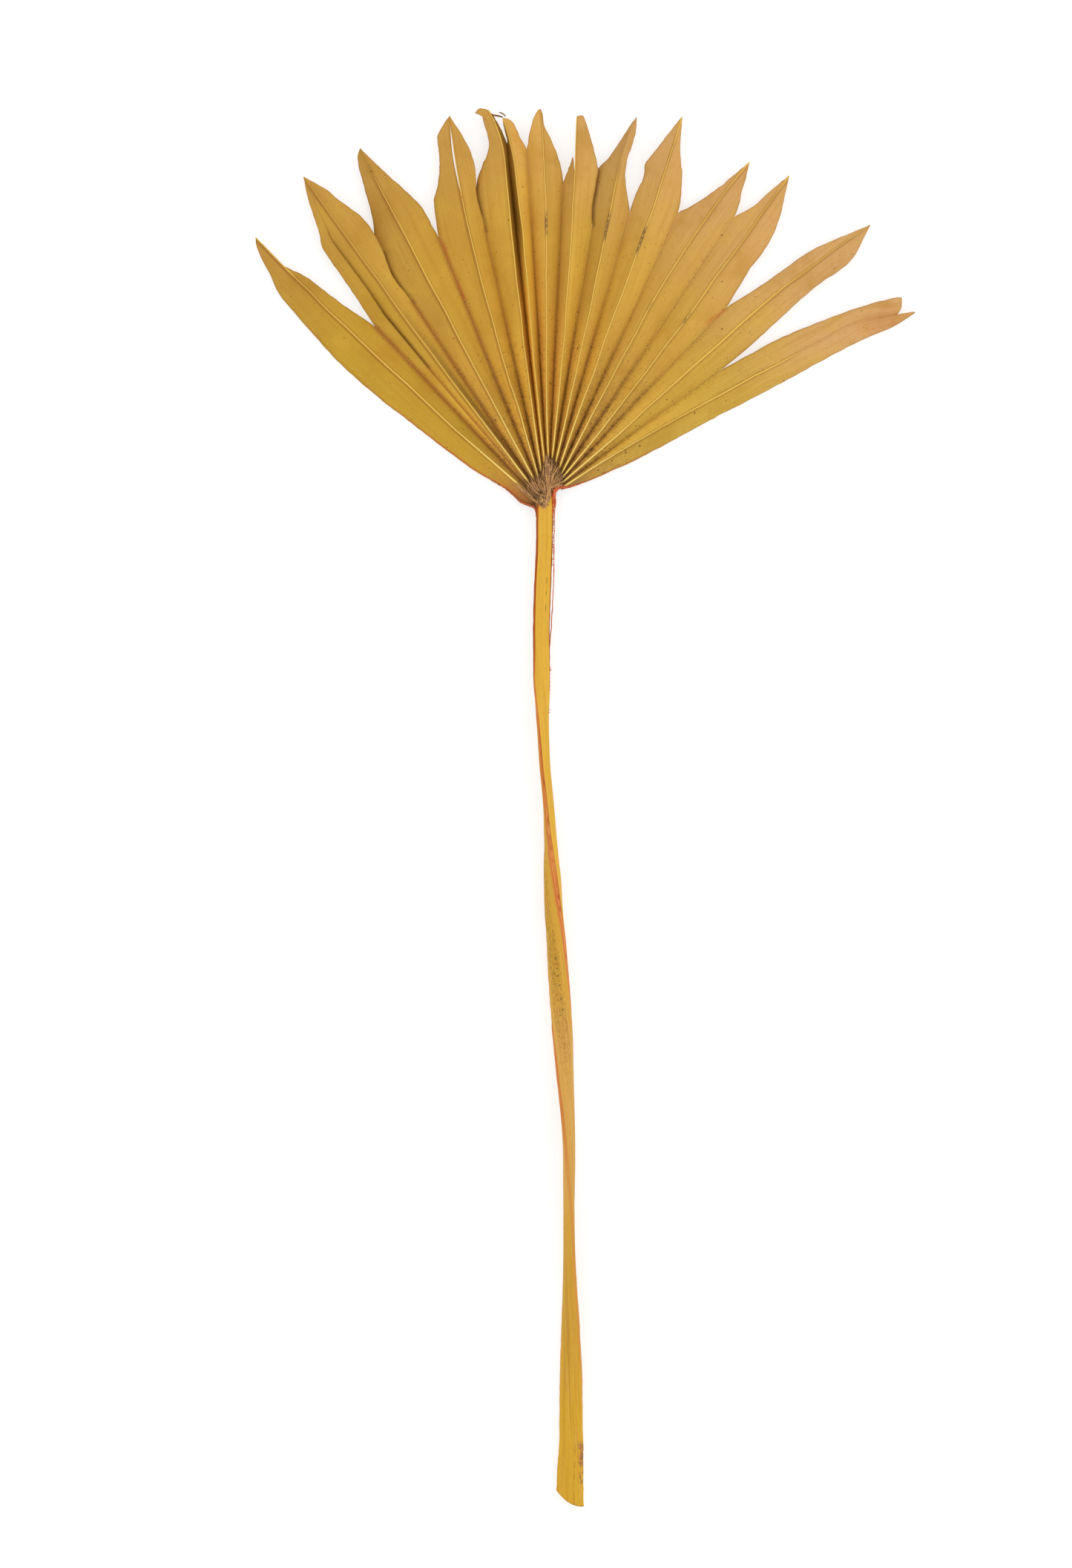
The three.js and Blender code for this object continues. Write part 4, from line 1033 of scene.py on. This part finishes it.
high = np.maximum(knot_top(x, y)[0], 4.4) + 0.1 + rng.uniform(0, 0.35, (CURLS, 1)) * np.sin(np.pi * s)
paths.append(np.stack([x, y, high], -1))
goes = rng.uniform(0, 6.28, (SWIRL, 1)) + rng.uniform(1, 3.4, (SWIRL, 1)) * s
size = rng.uniform(0.3, 1.6, (SWIRL, 1))
x = SWIRL_X + rng.normal(0, 0.35, (SWIRL, 1)) + size * rng.uniform(0.7, 1.1, (SWIRL, 1)) * np.cos(goes)
y = SWIRL_Y + rng.normal(0, 0.4, (SWIRL, 1)) + size * rng.uniform(0.8, 1.5, (SWIRL, 1)) * np.sin(goes)
high = np.maximum(knot_top(x, y)[0], 4) + 0.1 + 0.25 * rng.uniform(0, 1, (SWIRL, 1))
paths.append(np.stack([x, y, high], -1))
paths = np.concatenate(paths)
thick = rng.gamma(4, 0.022, (len(paths), 1)) * (1 - 0.6 * (2 * s - 1) ** 4)
points, faces = strand_mesh(paths, thick, 4)
fibres = add_mesh("hastula_fibres", points, faces)
set_measure(fibres, "strand", np.repeat(rng.uniform(0, 1, len(paths)), len(points) // len(paths)))

fibre_finish, surface, start = new_finish("torn_fibre")
pale = start.measure("strand")
colour = layered(pale.step(0.0, 0.85).blend((100, 66, 38), (210, 160, 108)),
                 (pale.step(0.84, 1.0), (232, 184, 100)))
feed(surface, Base_Color=colour, Roughness=0.8 + 0.1 * pale, Specular_IOR_Level=0.2)
fibres.data.materials.append(fibre_finish)
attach(fibres, "root")

# The shoulders: seams of hard orange-red skin, by which the edges of the stalk pass over into the
# outer edges of the fan, in one growth with both: a broad one on the right, a thin one on the left.
RIGHT_SEAM = [(13, 4.6, 2.2), (9, 3.2, 2.5), (6.5, 2.6, 3.0), (4.6, 2.55, 3.6), (3, 2.1, 4.1),
              (2.1, 1.1, 4.3), (1.85, -0.6, 4.4), (1.75, -2.6, 4.4), (1.6, -4.8, 4.4), (1.4, -9, 4.5)]
LEFT_SEAM = [(-21, 5.4, 1.6), (-15, 1.8, 1.9), (-12.2, -0.6, 2.2), (-9.9, -2.7, 2.6), (-7, -3.9, 3.2),
             (-5.1, -4.8, 3.9), (-4.4, -6.2, 4.3), (-4.25, -9.5, 4.3)]
RIGHT_THICK = [0, 0.25, 0.42, 0.55, 0.7, 0.85, 1], [0.12, 0.28, 0.5, 0.8, 0.72, 0.45, 0.22]
LEFT_THICK = [0, 0.4, 0.7, 0.85, 1], [0.15, 0.36, 0.5, 0.45, 0.22]
SEAM_STATIONS, SEAM_AROUND = 110, 28
s = np.linspace(0, 1, SEAM_STATIONS)
seams = np.stack([smooth_path(RIGHT_SEAM, s), smooth_path(LEFT_SEAM, s)])
right_thick = np.interp(s, *RIGHT_THICK) + rough_line(SEAM_STATIONS, 40, 0.06)
left_thick = np.interp(s, *LEFT_THICK) + rough_line(SEAM_STATIONS, 40, 0.05)
points, faces = strand_mesh(seams, np.stack([right_thick, left_thick]), SEAM_AROUND)
turn = np.tile(np.arange(SEAM_AROUND) * 2 * np.pi / SEAM_AROUND, SEAM_STATIONS)
ripple = 1 + 0.1 * np.sin(7 * turn) + 0.06 * np.sin(12 * turn + 1)
middle = np.repeat(seams, SEAM_AROUND, axis=1)
skin = points.reshape(2, -1, 3)
skin[:, :-2] = middle + (skin[:, :-2] - middle) * ripple[None, :, None]
shoulders = add_mesh("leaf_shoulders", skin.reshape(-1, 3), faces)
shares = np.repeat(s, SEAM_AROUND)
set_measure(shoulders, "lengthwise", np.r_[shares, 0, 1, shares + 2, 2, 3])

seam_finish, surface, start = new_finish("orange_seam")
place = start.place()
patch = place.noise(0.9, 4, 0.65)
ruddy = patch.step(0.35, 0.65)
lines = place.spread(2.6, 0.45, 2.6).noise(1, 3, 0.6)
colour = layered(
    ruddy.blend((214, 106, 54), (188, 76, 34)),
    (lines.step(0.48, 0.62) * 0.8, (150, 48, 18)),
    (lines.step(0.44, 0.34) * 0.6, (228, 144, 88)),
    (start.measure("lengthwise").step(1.5, 1.6), ruddy.blend((184, 100, 50), (144, 80, 42))))
feed(surface, Base_Color=colour, Roughness=0.65, Normal=patch.bump(0.5, 0.0003), Specular_IOR_Level=0.3)
shoulders.data.materials.append(seam_finish)
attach(shoulders, "root")

# The threads: two dry fibres that still hang between the tips of the fifth and sixth segments.
# They are strands of the torn margins, grown to the tips at both their ends.
THREADS = [[(-21.2, 138.3, 5.1), (-20.2, 137.8, 5.3), (-18.5, 137.5, 5.4), (-16.6, 137, 5.1)],
           [(-17.9, 138.8, 5.3), (-17.2, 138.5, 5.5), (-16.4, 138.1, 5.5), (-15.6, 137.3, 5.1)]]
THREAD_HALF = np.array([[0.34], [0.26]])
THREAD_STATIONS = 24
threads = np.stack([smooth_path(path, np.linspace(0, 1, THREAD_STATIONS)) for path in THREADS])
thick = THREAD_HALF * (1 - 0.4 * np.linspace(-1, 1, THREAD_STATIONS) ** 2)
tip_threads = add_mesh("tip_threads", *strand_mesh(threads, thick, 8))

thread_finish, surface, start = new_finish("brown_thread")
colour = start.place().noise(1.1, 3, 0.6).step(0.35, 0.65).blend((152, 102, 50), (96, 62, 34))
feed(surface, Base_Color=colour, Roughness=0.7, Specular_IOR_Level=0.3)
tip_threads.data.materials.append(thread_finish)
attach(tip_threads, "root")

# The floor: a pale matt board that the leaf lies on, lit through from beneath so that shadows on it
# stay faint.
FLOOR_HALF, FLOOR_Z = 3000, -0.05  # mm
floor_corners = FLOOR_HALF * np.array([(-1, -1), (1, -1), (1, 1), (-1, 1)], float)
points = np.column_stack([floor_corners, np.full(4, FLOOR_Z)])
floor = add_mesh("floor", points, np.array([(0, 1, 2), (0, 2, 3)]))
board, surface, start = new_finish("pale_board")
feed(surface, Base_Color=(0.45, 0.45, 0.45, 1), Roughness=0.9, Specular_IOR_Level=0.1,
     Emission_Color=(1, 1, 1, 1), Emission_Strength=0.6)
floor.data.materials.append(board)

# The light: an even white room and one broad soft lamp from the right.
LAMP_X, LAMP_Y, LAMP_Z = 1.5, 0.2, 1.3  # m
scene = bpy.context.scene
room = bpy.data.worlds.new("room")
room.use_nodes = True
room.node_tree.nodes["Background"].inputs["Color"].default_value = (1, 1, 1, 1)
room.node_tree.nodes["Background"].inputs["Strength"].default_value = 1.04
scene.world = room
lamp_light = bpy.data.lights.new("lamp", "AREA")
lamp_light.shape = "DISK"
lamp_light.size = 1.2
lamp_light.energy = 4
lamp = bpy.data.objects.new("lamp", lamp_light)
scene.collection.objects.link(lamp)
lamp.location = (LAMP_X, LAMP_Y, LAMP_Z)
lamp.rotation_euler = (0, np.arctan2(LAMP_X, LAMP_Z), 0)

# The camera: looks straight down on the leaf from well above.
MM_PER_PIXEL = 508 / 1884.5  # the leaf's length, in mm and in pixels of the picture
PICTURE_HEIGHT = 2114  # pixels
PICTURE_CENTRE = (-0.01806, 0.00876)  # m
CAMERA_HEIGHT, LEAF_HEIGHT = 3.2, 0.004  # m, of the lens and of the leaf's middle
lens = bpy.data.cameras.new("camera")
lens.sensor_width = 36
lens.lens = lens.sensor_width * (CAMERA_HEIGHT - LEAF_HEIGHT) / (PICTURE_HEIGHT * MM_PER_PIXEL / 1000)
lens.clip_end = 50
camera = bpy.data.objects.new("camera", lens)
camera.location = (*PICTURE_CENTRE, CAMERA_HEIGHT)
scene.collection.objects.link(camera)
scene.camera = camera
scene.view_settings.view_transform = "Standard"
